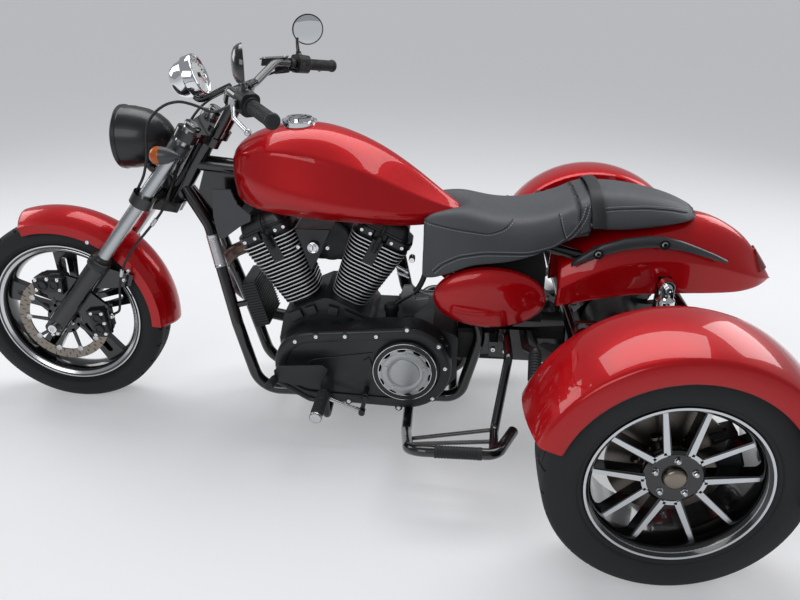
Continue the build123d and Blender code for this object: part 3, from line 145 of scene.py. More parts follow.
tree.links.new(both.outputs["Shader"], tree.nodes["Material Output"].inputs["Surface"])
floor_data.materials.append(floor_paint)
bpy.context.scene.collection.objects.link(studio_floor)

WORLD_STRENGTH = 0.4
world = bpy.data.worlds.new("studio")
world.use_nodes = True
world.node_tree.nodes["Background"].inputs["Color"].default_value = srgb("#DADDE2")
world.node_tree.nodes["Background"].inputs["Strength"].default_value = WORLD_STRENGTH
bpy.context.scene.world = world

# Columns: name, place and target in metres, width, height, watts
for name, place, target, width, height, watts in (
        ("softbox_above", (0.2, 0.9, 3.2), (0.1, 0.0, 0.5), 3.6, 1.6, 62),
        ("softbox_left", (-1.2, -3.6, 2.6), (0, 0, 0.5), 2.6, 1.8, 36),
        ("softbox_rear", (3.0, 1.8, 2.2), (0.4, 0, 0.5), 1.6, 1.6, 26),
        ("softbox_front", (-3.2, 1.0, 2.0), (-0.4, 0, 0.5), 1.6, 1.4, 22)):
    lamp_data = bpy.data.lights.new(name, "AREA")
    lamp_data.shape = "RECTANGLE"
    lamp_data.size, lamp_data.size_y = width, height
    lamp_data.energy = watts
    lamp = bpy.data.objects.new(name, lamp_data)
    lamp.location = place
    lamp.rotation_euler = (Vector(target) - Vector(place)).to_track_quat("-Z", "Y").to_euler()
    bpy.context.scene.collection.objects.link(lamp)

# Tube frame, rear chassis and steps: steel tube and plate, welded and powder-coated gloss
# black. The chassis bolts to lugs behind the gearbox
powder_coat = grained("gloss_black_powder_coat", "black_paint", "#0A0B0D", 0.2, coat=0.7, grain_mm=4, depth_mm=0.03)
moulded_rubber = grained("moulded_rubber", "rubber", "#242628", 0.64, grain_mm=0.8, depth_mm=0.08)
bright_bolt = grained("chrome_plated_bolt", "zinc", "#E2E4E6", 0.12, 1.0, grain_mm=8, depth_mm=0.01, spread=0.03)


def finish_cad(finish, *nodes):
    """Give solids from the CAD model their material."""
    for node in nodes:
        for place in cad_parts[node].material_slots:
            place.material = finish


def ride(made, finish, body):
    """Put a new object in the scene and on its body, in its material."""
    bpy.context.scene.collection.objects.link(made)
    made.data.materials.append(finish)
    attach(made, body)


def place_piece(name, mesh, finish, body="chassis", slot=None, smooth=35, levels=0, bevel=0.0, replaces=()):
    """Finished object from a bmesh: merged, shaded, in its material and riding on its body."""
    bmesh.ops.remove_doubles(mesh, verts=mesh.verts, dist=1e-6)
    bmesh.ops.recalc_face_normals(mesh, faces=mesh.faces)
    data = bpy.data.meshes.new(name)
    mesh.to_mesh(data)
    mesh.free()
    made = bpy.data.objects.new(name, data)
    ride(made, finish, body)
    for polygon in data.polygons:
        polygon.use_smooth = True
    if bevel:
        edges = made.modifiers.new("edges", "BEVEL")
        edges.width = bevel / 1000
        edges.segments = 2
        edges.limit_method = "ANGLE"
        edges.angle_limit = radians(smooth)
        edges.harden_normals = True
    elif not levels:
        data.set_sharp_from_angle(angle=radians(smooth))
    if levels:
        rounds = made.modifiers.new("rounds", "SUBSURF")
        rounds.levels = rounds.render_levels = levels
    if replaces:
        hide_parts(*replaces)
    return made


def edge_ring(mesh, points, closed=True):
    """Vertices through the points, joined by edges; returns both."""
    verts = [mesh.verts.new(point) for point in points]
    ends = verts[1:] + verts[:1] if closed else verts[1:]
    return verts, [mesh.edges.new(pair) for pair in zip(verts, ends)]


def lathe(mesh, base, axis, profile, steps=32):
    """Turn a profile of (distance along the axis, radius), in millimetres, round any axis."""
    along = Vector(axis).normalized()
    out = along.orthogonal().normalized()
    points = [base + along * (distance / 1000) + out * (radius / 1000) for distance, radius in profile]
    points = [base + along * (profile[0][0] / 1000)] + points + [base + along * (profile[-1][0] / 1000)]
    verts, edges = edge_ring(mesh, points, False)
    bmesh.ops.spin(mesh, geom=verts + edges, cent=base, axis=along, angle=tau, steps=steps, use_merge=True)


def turned(name, base, axis, profile, steps, finish, *more, **dress):
    """Piece made by one turn of the lathe."""
    mesh = bmesh.new()
    lathe(mesh, base, axis, profile, steps)
    return place_piece(name, mesh, finish, *more, **dress)


def ribbed(start, pitch, count, shape):
    """Part of a profile: a shape of (distance, radius) at equal steps."""
    return [(start + pitch * k + distance, radius) for k in range(count) for distance, radius in shape]


def bolt(mesh, centre, axis, radius, height, sides=18):
    """Bolt head standing on a face, with a socket in its middle; six sides make a hexagon."""
    lathe(mesh, centre, axis, [(-1.5, radius), (height * 0.6, radius), (height, radius * 0.8),
          (height, radius * 0.42), (height * 0.45, radius * 0.38)], sides)


def bolted(name, heads, finish, *more, **dress):
    """Piece made of bolt heads, each a centre, an axis, a radius, a height and maybe its sides."""
    mesh = bmesh.new()
    for head in heads:
        bolt(mesh, *head)
    return place_piece(name, mesh, finish, *more, **dress)


finish_cad(powder_coat, "frame", "rear_chassis", "side_steps", "fender_stays")
SIDES = ((-1, "left"), (1, "right"))
# Columns: station, y, z, head radius; each has its twin on the other side
CHASSIS_BOLTS = ((1903, 184, 548, 11), (1914, 184, 352, 11), (1668, 214, 428, 8), (1962, 214, 436, 8),
                 (1410, 132.4, 302, 9), (1446, 145.2, 304, 9))
for hand, side_word in SIDES:
    bolted(f"chassis_bolts_{side_word}", [(at(s, hand * y, z), (0, hand, 0), r, 7, 6)
           for s, y, z, r in CHASSIS_BOLTS], bright_bolt, smooth=25)
    # Ribbed rubber sleeve on each step's tube, moulded and pushed on
    turned(f"step_sleeve_{side_word}", at(1240, hand * 545, 200), (1, 0, 0), [(0, 16.2), (1, 17.6),
           (6, 17.6)] + ribbed(6, 8, 14, ((2, 17.6), (3, 16.4), (5, 16.4), (6, 17.6))) + [(124, 17.6), (129, 17.6),
           (130, 16.2)], 28, moulded_rubber, smooth=50)

# Axle links: two zinc-plated rods that tie the chassis's cross tubes over the axle, each
# screwed between two plate brackets welded to the tubes
zinc_plate = grained("zinc_plated_steel", "zinc", "#C9CBCD", 0.27, 1.0, grain_mm=2, depth_mm=0.03)
LINK_Y, LINK_Z, LINK_FRONT, LINK_REAR = 204.0, 428.0, 1706.0, 1930.0


def push(mesh, points, shift):
    """Solid from a face through the points, pushed by a shift in metres."""
    verts, _ = edge_ring(mesh, points)
    face = bmesh.ops.contextual_create(mesh, geom=verts)["faces"]
    pushed = bmesh.ops.extrude_face_region(mesh, geom=face, use_keep_orig=True)["geom"]
    moved = [part for part in pushed if isinstance(part, bmesh.types.BMVert)]
    bmesh.ops.translate(mesh, verts=moved, vec=shift)


def prism(mesh, outline, y_near, y_far):
    """Solid between two upright fore-and-aft planes from an outline of (station, height)."""
    push(mesh, [at(s, y_near, z) for s, z in outline], (0, (y_far - y_near) / 1000, 0))


for hand, side_word in SIDES:
    brackets, rod = bmesh.new(), bmesh.new()
    for tube_s, tube_z, reach in ((1640, 400, LINK_FRONT), (1990, 440, LINK_REAR)):
        prism(brackets, [(tube_s, tube_z), (tube_s, LINK_Z + 16), (reach, LINK_Z + 16), (reach, LINK_Z - 16)],
              hand * (LINK_Y - 10), hand * (LINK_Y + 10))
    place_piece(f"link_brackets_{side_word}", brackets, powder_coat, bevel=2)
    lathe(rod, at(LINK_FRONT, hand * LINK_Y, LINK_Z), (1, 0, 0), [(-2, 11), (4, 16), (14, 16), (15, 13.5),
          (209, 13.5), (210, 16), (220, 16), (226, 11)], 24)
    place_piece(f"axle_link_{side_word}", rod, zinc_plate, smooth=30)

# Rear tyres: car-type radial tyres in black rubber, moulded with four grooves round the tread
# and sipes cut across its blocks. The front tyre further down uses the same mould function
tyre_black, tree, shader = plain_surface("tyre_rubber", "tyre", "#1B1C1E", 0.74)


def two_tone(tree, factor, first, second):
    """Output of a colour mixed between two."""
    return add_node(tree, "Mix", {0: factor, 6: first, 7: second}, data_type="RGBA").outputs[2]


place = add_node(tree, "TexCoord").outputs["Object"]
# Moulding grain of about 2 mm, and dust that lies in patches a hand wide
grain = noise(tree, place, 500.0, 5.0)
bump = add_node(tree, "Bump", {"Height": grain.outputs["Fac"], "Distance": 0.00015})
dust = noise(tree, place, 5.0, 4.0)
tone = two_tone(tree, dust.outputs["Fac"], srgb("#131415"), srgb("#28292C"))
tree.links.new(bump.outputs["Normal"], shader.inputs["Normal"])
tree.links.new(tone, shader.inputs["Base Color"])


def spin(mesh, profile, hub, steps, start=0.0, sweep=360.0):
    """Turn a closed outline of (radius, y) round a wheel's axis, from an angle up from rearward."""
    turn = radians(start)
    points = [at(hub[0] + r * cos(turn), hub[1] + y, hub[2] + r * sin(turn)) for r, y in profile]
    verts, edges = edge_ring(mesh, points)
    full = sweep >= 360
    made = bmesh.ops.spin(mesh, geom=verts + edges, cent=at(*hub), axis=(0, -1, 0), angle=radians(sweep),
                          steps=steps, use_merge=full)
    if not full:
        last = [part for part in made["geom_last"] if isinstance(part, bmesh.types.BMVert)]
        for loop in (verts, last):
            bmesh.ops.contextual_create(mesh, geom=loop)


def tyre_piece(name, hub, body, node, radius, width, bead_r, rim_half, shoulder, tread_half, grooves, sipe_slant):
    """Tyre with grooves round its tread at the given y, and slanted sipes between them."""
    flange_r = bead_r + 15
    wall = [(bead_r + 1, rim_half - 2), (flange_r, rim_half - 0.5), (flange_r + 5, rim_half + 5),
            (flange_r + 11, width / 2 - 6), (flange_r + 14, width / 2 - 6.5), (flange_r + 16, width / 2 - 3),
            (flange_r + 26, width / 2 - 0.5), (0.5 * radius + 0.5 * flange_r, width / 2 - 0.8),
            (radius - shoulder - 6, tread_half + shoulder * 0.66), (radius - shoulder * 0.8,
            tread_half + shoulder * 0.5), (radius - shoulder * 0.5, tread_half + shoulder * 0.3),
            (radius - shoulder * 0.22, tread_half * 0.99)]
    crown = [(radius - 2.5 * (y / tread_half) ** 2, y) for y in [tread_half * k / 9 for k in range(8, 0, -1)]]
    for r, y in crown:
        if any(abs(y - g) < tread_half / 18 for g in grooves):
            wall += [(r, y + 3.2), (r - 7, y + 2.2), (r - 7, y - 2.2), (r, y - 3.2)]
        else:
            wall.append((r, y))
    profile = wall + [(r, -y) for r, y in reversed(wall)]
    mesh = bmesh.new()
    steps = 300
    spin(mesh, profile, hub, steps)
    bmesh.ops.recalc_face_normals(mesh, faces=mesh.faces)
    mesh.faces.ensure_lookup_table()
    centre = at(*hub)
    sipes = []
    for face in mesh.faces:
        off = face.calc_center_median() - centre
        out = Vector((off.x, 0, off.z))
        if out.length * 1000 < radius - shoulder * 0.55 or face.calc_area() * 1e6 < 20:
            continue
        step = round(atan2(off.z, off.x) / tau * steps)
        shift = round(abs(off.y) * 1000 * sipe_slant)
        if (step + shift + (5 if off.y > 0 else 0)) % 10 == 0:
            sipes.append(face)
    bmesh.ops.inset_region(mesh, faces=sipes, thickness=0.0005, depth=-0.0045, use_even_offset=True)
    return place_piece(name, mesh, tyre_black, body, smooth=50, replaces=(node,))


WHEELBASE, REAR_HUB_Z, REAR_WHEEL_Y = 1810.0, 316.0, 700.0
for hand, side_word in SIDES:
    tyre_piece(f"rear_{side_word}_carcass", (WHEELBASE, hand * REAR_WHEEL_Y, REAR_HUB_Z), f"rear_{side_word}_wheel",
               f"rear_{side_word}_tyre", 316, 205, 203, 89, 16, 84, (28, 65.3), 0.05)

# Rear wheels: cast aluminium, gloss black in their deep barrels, with the faces of the five
# U-shaped spoke pairs and both rim edges turned bright on a lathe; a plain cap and five nuts
wheel_enamel = grained("gloss_black_wheel_enamel", "black_wheel", "#08090B", 0.16, coat=0.8, grain_mm=12,
                       depth_mm=0.02, spread=0.04)
brushed_cap = grained("brushed_wheel_cap", "black_wheel", "#8F867B", 0.3, 1.0, grain_mm=1.4, depth_mm=0.03,
                      spread=0.05)


def turned_metal(name, slot, colour, roughness, hub, groove_mm):
    """Metal cut on a lathe: fine rings round the wheel's axis, a groove apart."""
    made, tree, shader = plain_surface(name, slot, colour, roughness, 1.0)
    place = add_node(tree, "TexCoord").outputs["Object"]
    centred = add_node(tree, "Mapping", {"Vector": place, "Location": (-hub.x, 0, -hub.z), "Scale": (1, 0, 1)})
    out = add_node(tree, "VectorMath", {0: centred.outputs["Vector"]}, operation="LENGTH")
    rings = add_node(tree, "TexNoise", noise_dimensions="1D", sockets={"W": out.outputs["Value"],
                     "Scale": 1000 / groove_mm})
    bump = add_node(tree, "Bump", {"Height": rings.outputs["Fac"], "Distance": 0.00004, "Strength": 0.6})
    tree.links.new(bump.outputs["Normal"], shader.inputs["Normal"])
    return made


turned_aluminium = turned_metal("turned_aluminium", "black_wheel", "#D4D7DA", 0.28, at(WHEELBASE, 0, REAR_HUB_Z), 0.7)
rear_disc_steel = turned_metal("ground_rear_disc_steel", None, "#6E6862", 0.36, at(WHEELBASE, 0, REAR_HUB_Z), 0.9)
finish_cad(rear_disc_steel, "rear_left_disc", "rear_right_disc")


def polar(hub, radius, angle):
    """Station and height of a spot on a wheel's face."""
    return hub[0] + radius * cos(radians(angle)), hub[2] + radius * sin(radians(angle))


def flat_spoke(mesh, hub, root, tip, width_root, width_tip, y_face, y_back):
    """Bar between two (radius, angle) spots on a wheel's face, with a width at each end."""
    a, b = Vector(polar(hub, *root)), Vector(polar(hub, *tip))
    across = Vector((a.y - b.y, b.x - a.x)).normalized()
    prism(mesh, [a + across * width_root / 2, b + across * width_tip / 2, b - across * width_tip / 2,
          a - across * width_root / 2], hub[1] + y_face, hub[1] + y_back)


for hand, side_word in SIDES:
    hub = (WHEELBASE, hand * REAR_WHEEL_Y, REAR_HUB_Z)
    body = f"rear_{side_word}_wheel"
    barrel = bmesh.new()
    outline = [(217, -95), (218, -90), (205, -86), (203, -83), (203, 83), (205, 86), (218, 90), (217, 95), (213, 95),
               (206, 89), (198, 79), (194, 65), (192, 20), (190, -30), (196, -95)]
    spin(barrel, [(r, hand * y) for r, y in outline], hub, 120)
    lathe(barrel, at(hub[0], hub[1] - hand * 24, hub[2]), (0, hand, 0), [(0, 48), (64, 48), (66, 46)], 48)
    spin(barrel, [(21, hand * 20), (21, hand * 46), (30, hand * 58), (66, hand * 60), (74, hand * 54),
         (76, hand * 44), (72, hand * 30), (60, hand * 20)], hub, 72)
    faces = bmesh.new()
    for pair in (54, 126, 198, 270, 342):
        for lean in (-1, 1):
            flat_spoke(barrel, hub, (64, pair + lean * 14), (197, pair + lean * 21), 20, 15, hand * 58, hand * 22)
            flat_spoke(faces, hub, (70, pair + lean * 13), (199, pair + lean * 21), 15, 11, hand * 62, hand * 57.5)
        web = [(78, turn) for turn in (-13, -6, 0, 6, 13)] + [(67, turn) for turn in (13, 6, 0, -6, -13)]
        prism(faces, [polar(hub, r, pair + turn) for r, turn in web], hub[1] + hand * 62, hub[1] + hand * 57.5)
    place_piece(f"rear_{side_word}_barrel", barrel, wheel_enamel, body, smooth=40,
                replaces=(f"rear_{side_word}_rim",))
    spin(faces, [(211.5, hand * 95.3), (217.4, hand * 95.3), (217.4, hand * 94), (211, hand * 94)], hub, 160)
    spin(faces, [(199, hand * 79), (204.5, hand * 87.5), (205.5, hand * 86.5), (200, hand * 78)], hub, 160)
    place_piece(f"rear_{side_word}_machined", faces, turned_aluminium, body, smooth=30)
    turned(f"rear_{side_word}_cap", at(hub[0], hub[1] + hand * 50, hub[2]), (0, hand, 0), [(0, 28), (14, 28),
           (19, 26), (21.5, 21), (22.4, 12), (22.6, 3)], 48, brushed_cap, body, smooth=50)
    nuts = bmesh.new()
    for k in range(5):
        s, z = polar(hub, 50, 18 + 72 * k)
        lathe(nuts, at(s, hub[1] + hand * 56, z), (0, hand, 0), [(-4, 9.5), (3, 9.5), (3.2, 8.6), (3.4, 8.5)], 6)
        lathe(nuts, at(s, hub[1] + hand * 56, z), (0, hand, 0), [(3, 7.2), (11, 7.2), (13, 5)], 6)
    place_piece(f"rear_{side_word}_lug_nuts", nuts, zinc_plate, body, smooth=30)

# Rear axle and brakes: a cast housing with a round differential, in satin black, and a cast
# iron caliper clamped over each disc with two bolts
satin_black = grained("satin_black_casting_paint", "black_paint", "#15171A", 0.42, 0.0, 0.1, grain_mm=0.8,
                      depth_mm=0.06)
finish_cad(satin_black, "rear_axle", "rear_calipers")
spots = [polar((WHEELBASE, 0, REAR_HUB_Z), 84, 36 * k + 18) for k in range(10)]
bolted("differential_bolts", [(at(s, hand * 86, z), (0, hand, 0), 6, 6, 6) for s, z in spots for hand in (-1, 1)],
       zinc_plate, smooth=25)

# Crankcase: one aluminium casting in satin black paint, with ribbed decks that carry the
# cylinders and bolts round its seams
engine_black = grained("satin_black_engine_paint", "black_engine", "#1B1E21", 0.42, 0.1, 0.15, grain_mm=1.4,
                       depth_mm=0.08, spread=0.07)
finish_cad(engine_black, "crankcase", "clutch_cover", "cam_cover", "air_cleaner")

# Cylinders: finned black barrels under cast heads; the fins' edges are machined bright, and
# they widen towards the head, with a bare pad on the left for the spark plug
CRANK = (871.0, 260.0)
# Half the angle between the two banks
LEAN = radians(25.0)


def lean_point(hand, along, y, distance):
    """Point on a cylinder: along the fins, y, and the distance from the crank; -1 is the front."""
    lean = LEAN * hand
    return at(CRANK[0] + along * cos(lean) + distance * sin(lean), y,
              CRANK[1] - along * sin(lean) + distance * cos(lean))


def loft(mesh, rings, caps=False, closed=True):
    """Bridge each ring or open row of points to the next; returns the rows of vertices."""
    rows = [edge_ring(mesh, ring, closed) for ring in rings]
    for (_, low), (_, high) in zip(rows, rows[1:]):
        bmesh.ops.bridge_loops(mesh, edges=low + high)
    if caps:
        for row in (rows[0][0], rows[-1][0]):
            bmesh.ops.contextual_create(mesh, geom=row)
    return [verts for verts, _ in rows]


fin_edge_aluminium = grained("machined_fin_edge", "cast_aluminium", "#D8DADC", 0.34, 0.6, grain_mm=1.4, depth_mm=0.03,
    spread=0.05)
FIN_START, FIN_PITCH, FIN_COUNT = 180.0, 12.5, 18
BARREL_FOOT, HEAD_SEAT = 160, 404


def fin_outline(hand, distance, inset, thick=0.0):
    """Rounded oblong of a fin, cut off where the two banks meet."""
    grow = (distance - FIN_START) / (FIN_PITCH * FIN_COUNT)
    inner, outer = 61 + 29 * grow - inset, 62 + 41 * grow - inset
    fore, aft = (outer, inner) if hand < 0 else (inner, outer)
    half_y, corner = 77.5 - inset, 46 - 8 * grow - inset
    corners = ((aft - corner, half_y - corner, 0), (corner - fore, half_y - corner, 90),
               (corner - fore, corner - half_y, 180), (aft - corner, corner - half_y, 270))
    limit = distance * sin(LEAN) / cos(LEAN) - 2.0
    points = []
    for cx, cy, first in corners:
        for step in range(7):
            turn = radians(first + step * 15)
            x = cx + corner * cos(turn)
            points.append((min(x, limit) if hand < 0 else max(x, -limit), cy + corner * sin(turn)))
    return [lean_point(hand, x, y, distance + thick) for x, y in points]


for hand, bank in ((-1, "front"), (1, "rear")):
    barrel = bmesh.new()
    loft(barrel, [fin_outline(hand, d, 16) for d in (BARREL_FOOT, 300, HEAD_SEAT)], True)
    place_piece(f"{bank}_barrel", barrel, engine_black, bevel=1.5, replaces=("cylinders",))
    fins, edges = bmesh.new(), bmesh.new()
    for k in range(FIN_COUNT):
        low = FIN_START + k * FIN_PITCH
        loft(fins, [fin_outline(hand, low, inset, t) for inset, t in ((2, -0.4), (0.4, 0.4), (0.4, 3.6), (2, 4.4))],
             True)
        bright = [fin_outline(hand, low, inset, t) for inset, t in ((2.4, 0.3), (0, 0.3), (0, 3.7), (2.4, 3.7))]
        loft(edges, bright + bright[:1])
    place_piece(f"{bank}_fins", fins, engine_black, smooth=30)
    place_piece(f"{bank}_fin_edges", edges, fin_edge_aluminium, smooth=30)

    # Plug pad, spark plug boot and its lead up to the coil under the tank
    pad = bmesh.new()
    push(pad, [lean_point(hand, a, -78.4, d) for a, d in ((-18, 322), (18, 322), (18, 407), (-18, 407))],
         (0, 0.022, 0))
    place_piece(f"{bank}_plug_pad", pad, engine_black, bevel=1.2)
    boot = bmesh.new()
    along_axis = lean_point(hand, 0, 0, 1) - lean_point(hand, 0, 0, 0)
    lathe(boot, lean_point(hand, 1, -80, 368), along_axis + Vector((0, -0.0003, 0)), [(0, 6), (2, 8.5), (14, 8.5),
          (15, 10.5), (19, 10.5), (20, 8.8), (44, 8.8), (46, 10), (50, 10), (52, 7.4), (66, 6.4)], 24)
    place_piece(f"{bank}_plug_boot", boot, moulded_rubber, smooth=50)

    # Cast head over the fins: a black block with rounded ears, cap screws on its left face
    head = bmesh.new()
    reach_in, reach_out = 84, 104
    fore, aft = (reach_out, reach_in) if hand < 0 else (reach_in, reach_out)
    outline = [(-fore + 8, -52), (-fore + 26, -70), (-24, -72), (-20, -60), (20, -60), (24, -72), (aft - 26, -70),
               (aft - 8, -52), (aft, -30), (aft, 44), (aft - 20, 70), (-fore + 20, 70), (-fore, 44), (-fore, -30)]
    limit = HEAD_SEAT * sin(LEAN) / cos(LEAN) - 3.0
    clipped = [(min(a, limit) if hand < 0 else max(a, -limit), y) for a, y in outline]
    loft(head, [[lean_point(hand, a * f, y * f, d) for a, y in clipped] for f, d in ((0.97, 404.6), (1, 407),
         (1, 428), (0.96, 432))], True)
    place_piece(f"{bank}_head", head, engine_black, bevel=1.5)
    screws = bmesh.new()
    for a in (-0.72, -0.38, 0.38, 0.72):
        reach = (fore if a < 0 else aft) * a
        if abs(reach) < limit - 8:
            bolt(screws, lean_point(hand, reach, -70.5, 417), (0, -1, 0), 6.5, 5)
    place_piece(f"{bank}_head_screws", screws, bright_bolt, smooth=30)

    # Rocker cover: a domed cast box with a flange, in the same paint
    cover = bmesh.new()
    rings = []
    for d, grow in ((431, 0), (437, 0), (438, -4), (456, -9), (468, -15), (475, -24), (478, -38)):
        ring = []
        for cx, cy, first in ((1, 1, 0), (-1, 1, 90), (-1, -1, 180), (1, -1, 270)):
            for step in range(6):
                turn = radians(first + 18 * step)
                ring.append(lean_point(hand, hand * 8 + cx * 50 + (30 + grow) * cos(turn),
                                       cy * 36 + (30 + grow) * sin(turn), d))
        rings.append(ring)
    loft(cover, rings, True)
    place_piece(f"{bank}_rocker_cover", cover, engine_black, smooth=40, replaces=("rocker_covers",))

# Intake cover: a black box in the vee between the cylinders, with a round key lock in a bright
# cup and two screws on its left face


def plate(name, outline, y_near, y_far, finish, *more, **dress):
    """Piece made of one such solid."""
    mesh = bmesh.new()
    prism(mesh, outline, y_near, y_far)
    return place_piece(name, mesh, finish, *more, **dress)


plate("intake_box", [(781, 654), (896, 654), (830, 508)], 78, -62, engine_black, bevel=4, replaces=("intake_cover",))
intake_trim = bmesh.new()
lathe(intake_trim, at(840, -74, 598), (0, -1, 0), [(-0.5, 17.4), (2, 17.4), (2.6, 16), (1.6, 13.5), (-0.4, 12.6),
      (-0.4, 11), (3, 10.4), (3.6, 9), (3.6, 2)], 40)
for s in (792, 884):
    bolt(intake_trim, at(s, -62, 596), (0, -1, 0), 7, 6)
place_piece("intake_lock_and_screws", intake_trim, bright_bolt, smooth=30)
# The key slot is not cut into the lock: a thin strip of the dark rubber on its face is painted shade for the slot
plate("intake_key_slot_painted_shade", [(838.6, 592), (841.4, 592), (841.4, 604), (838.6, 604)], -77.2, -78.4, moulded_rubber)

# Primary cover: black casting over the crank and clutch, with a stepped inner panel and a row
# of cap screws in cups along its band
PRIMARY_FRONT, PRIMARY_REAR = (850.0, 245.0, 124.0), (1140.0, 250.0, 143.0)


def primary_outline(inset, y):
    """Two arcs and their tangents round the crank and the clutch, pulled in all round."""
    (x1, z1, r1), (x2, z2, r2) = PRIMARY_FRONT, PRIMARY_REAR
    tilt = atan2(z2 - z1, x2 - x1)
    spread = tilt + tau / 4 + atan2(r2 - r1, Vector((x2 - x1, z2 - z1)).length)
    lower = 2 * tilt - spread
    points = []
    for x, z, r, first, last in ((x2, z2, r2 - inset, lower, spread), (x1, z1, r1 - inset, spread, lower + tau)):
        for k in range(25):
            turn = first + (last - first) * k / 24
            points.append(at(x + r * cos(turn), y, z + r * sin(turn)))
    return points


case = bmesh.new()
loft(case, [primary_outline(inset, y) for inset, y in ((0, -112), (0, -186), (1, -191), (4, -195.6), (8, -198.6),
     (14, -200), (33, -200), (36, -199), (38, -194))], True)
place_piece("primary_case", case, engine_black, smooth=40, replaces=("primary_cover",))
plate("primary_inner_panel", [(822, 196), (824, 240), (832, 262), (850, 274), (1010, 279), (1028, 288), (1040, 306),
      (1060, 180), (1040, 158), (840, 164)], -193.6, -198.2, engine_black, bevel=3)
screws, cups = bmesh.new(), bmesh.new()
for s, z in ((796, 335), (862, 355), (952, 360), (1048, 364), (1142, 391), (1240, 338), (1262, 262), (1226, 152),
             (1120, 112), (960, 128), (838, 134), (752, 196)):
    lathe(cups, at(s, -197, z), (0, -1, 0), [(-4, 12), (2.6, 12), (3.6, 11), (3.6, 8)], 28)
    bolt(screws, at(s, -199.6, z), (0, -1, 0), 7, 5)
place_piece("primary_screw_cups", cups, engine_black, smooth=40)
place_piece("primary_screws", screws, bright_bolt, smooth=30)

# Clutch cover: a black ring with a fine bright edge round a brushed alloy disc, its rim cut
# into broad petals, and a raised middle; the ring's lettering is left off
CLUTCH = (1138.0, 249.0)
turned("clutch_ring", at(CLUTCH[0], -200, CLUTCH[1]), (0, -1, 0), [(0, 103), (9, 103), (12.6, 100.5), (13.2, 98.5),
       (13.2, 80), (11, 78)], 96, engine_black, smooth=40, replaces=("clutch_cover",))
brushed_alloy = turned_metal("brushed_clutch_cover", "cast_aluminium", "#AFB1B3", 0.34, at(CLUTCH[0], 0, CLUTCH[1]),
    1.2)
bright_edge = bmesh.new()
for outer, inner in ((99.6, 97.8), (83.6, 81.6)):
    lathe(bright_edge, at(CLUTCH[0], -212.9, CLUTCH[1]), (0, -1, 0), [(0, outer), (0.9, outer - 0.2), (0.9, inner),
          (0, inner - 0.2)], 120)
place_piece("clutch_bright_edges", bright_edge, bright_bolt, smooth=30)
disc = bmesh.new()
petals = []
for k in range(10):
    for turn, r in ((0, 81.5), (8, 82), (16, 81.5), (19, 75), (26, 74), (33, 75)):
        spot = radians(k * 36 + turn)
        petals.append((CLUTCH[0] + r * cos(spot), CLUTCH[1] + r * sin(spot)))
prism(disc, petals, -211, -216.5)
lathe(disc, at(CLUTCH[0], -215, CLUTCH[1]), (0, -1, 0), [(0, 73), (2.4, 73), (3.4, 71.5), (3.4, 50), (2.4, 48.5),
      (2.4, 46.5), (4.4, 45), (5, 40), (5, 3)], 96)
place_piece("clutch_disc", disc, brushed_alloy, bevel=0.8)
spots = [polar((CLUTCH[0], 0, CLUTCH[1]), 62, 18 + 72 * k) for k in range(5)]
bolted("clutch_screws", [(at(s, -218, z), (0, -1, 0), 5, 3.4) for s, z in spots], zinc_plate, smooth=30)

# Crankcase trim: ribs on the decks, the oil filler, an oil hose behind the rear cylinder, a
# cast bracket for the starter and round-headed bolts
case_trim = bmesh.new()
for outline in (((760, 392), (800, 408), (812, 380), (776, 362)), ((812, 412), (846, 424), (856, 396), (826, 382)),
                ((890, 424), (924, 416), (918, 386), (888, 392)), ((940, 412), (1010, 378), (1000, 366), (938, 392)),
                ((1030, 376), (1080, 388), (1150, 380), (1146, 364), (1040, 362))):
    prism(case_trim, outline, -111, -124)
place_piece("deck_ribs", case_trim, engine_black, bevel=3)
turned("oil_filler", at(1084, -52, 362), (0, 0, 1), [(0, 20), (22, 20), (24, 24), (40, 24), (44, 20), (44, 8)], 20,
       satin_black, slot="black_plastic", smooth=40)
cast_alloy = grained("cast_aluminium", "cast_aluminium", "#8F9193", 0.45, 1.0, grain_mm=1.6, depth_mm=0.1)
plate("starter_bracket", [(1120, 362), (1112, 440), (1124, 470), (1150, 472), (1204, 432), (1200, 412), (1160, 424),
      (1152, 362)], -34, -48, cast_alloy, bevel=2)
fittings = bmesh.new()
lathe(fittings, at(1146, -30, 562), (0, -1, 0), [(0, 10), (26, 10), (30, 8), (30, 3)], 24)
lathe(fittings, at(1096, -44, 536), (26, 0, -14), [(0, 5), (34, 5), (35, 7.5), (44, 7.5), (46, 5)], 20)
lathe(fittings, at(1100, -44, 512), (26, 0, -10), [(0, 4.5), (40, 4.5)], 16)
place_piece("head_fittings", fittings, bright_bolt, smooth=40)
# Columns: station, y, z, head radius
CASE_BOLTS = ((1247, -150, 339, 7), (1263, -150, 318, 6), (1225, -112, 148, 8), (1274, -112, 223, 7),
              (760, -112, 180, 7), (752, -112, 262, 7))
bolted("crankcase_bolts", [(at(s, y, z), (0, -1, 0), r, 6) for s, y, z, r in CASE_BOLTS], bright_bolt, smooth=30)


def wire(name, points, radius, finish, body="chassis", sides=6):
    """Smooth round tube, hose or lead through points, as a curve."""
    data = bpy.data.curves.new(name, "CURVE")
    data.dimensions = "3D"
    data.bevel_depth = radius / 1000
    data.bevel_resolution = sides
    data.resolution_u = 12
    data.use_fill_caps = True
    line = data.splines.new("NURBS")
    line.points.add(len(points) - 1)
    for spot, point in zip(line.points, points):
        spot.co = (*point, 1)
    line.order_u = 3
    line.use_endpoint_u = True
    ride(bpy.data.objects.new(name, data), finish, body)


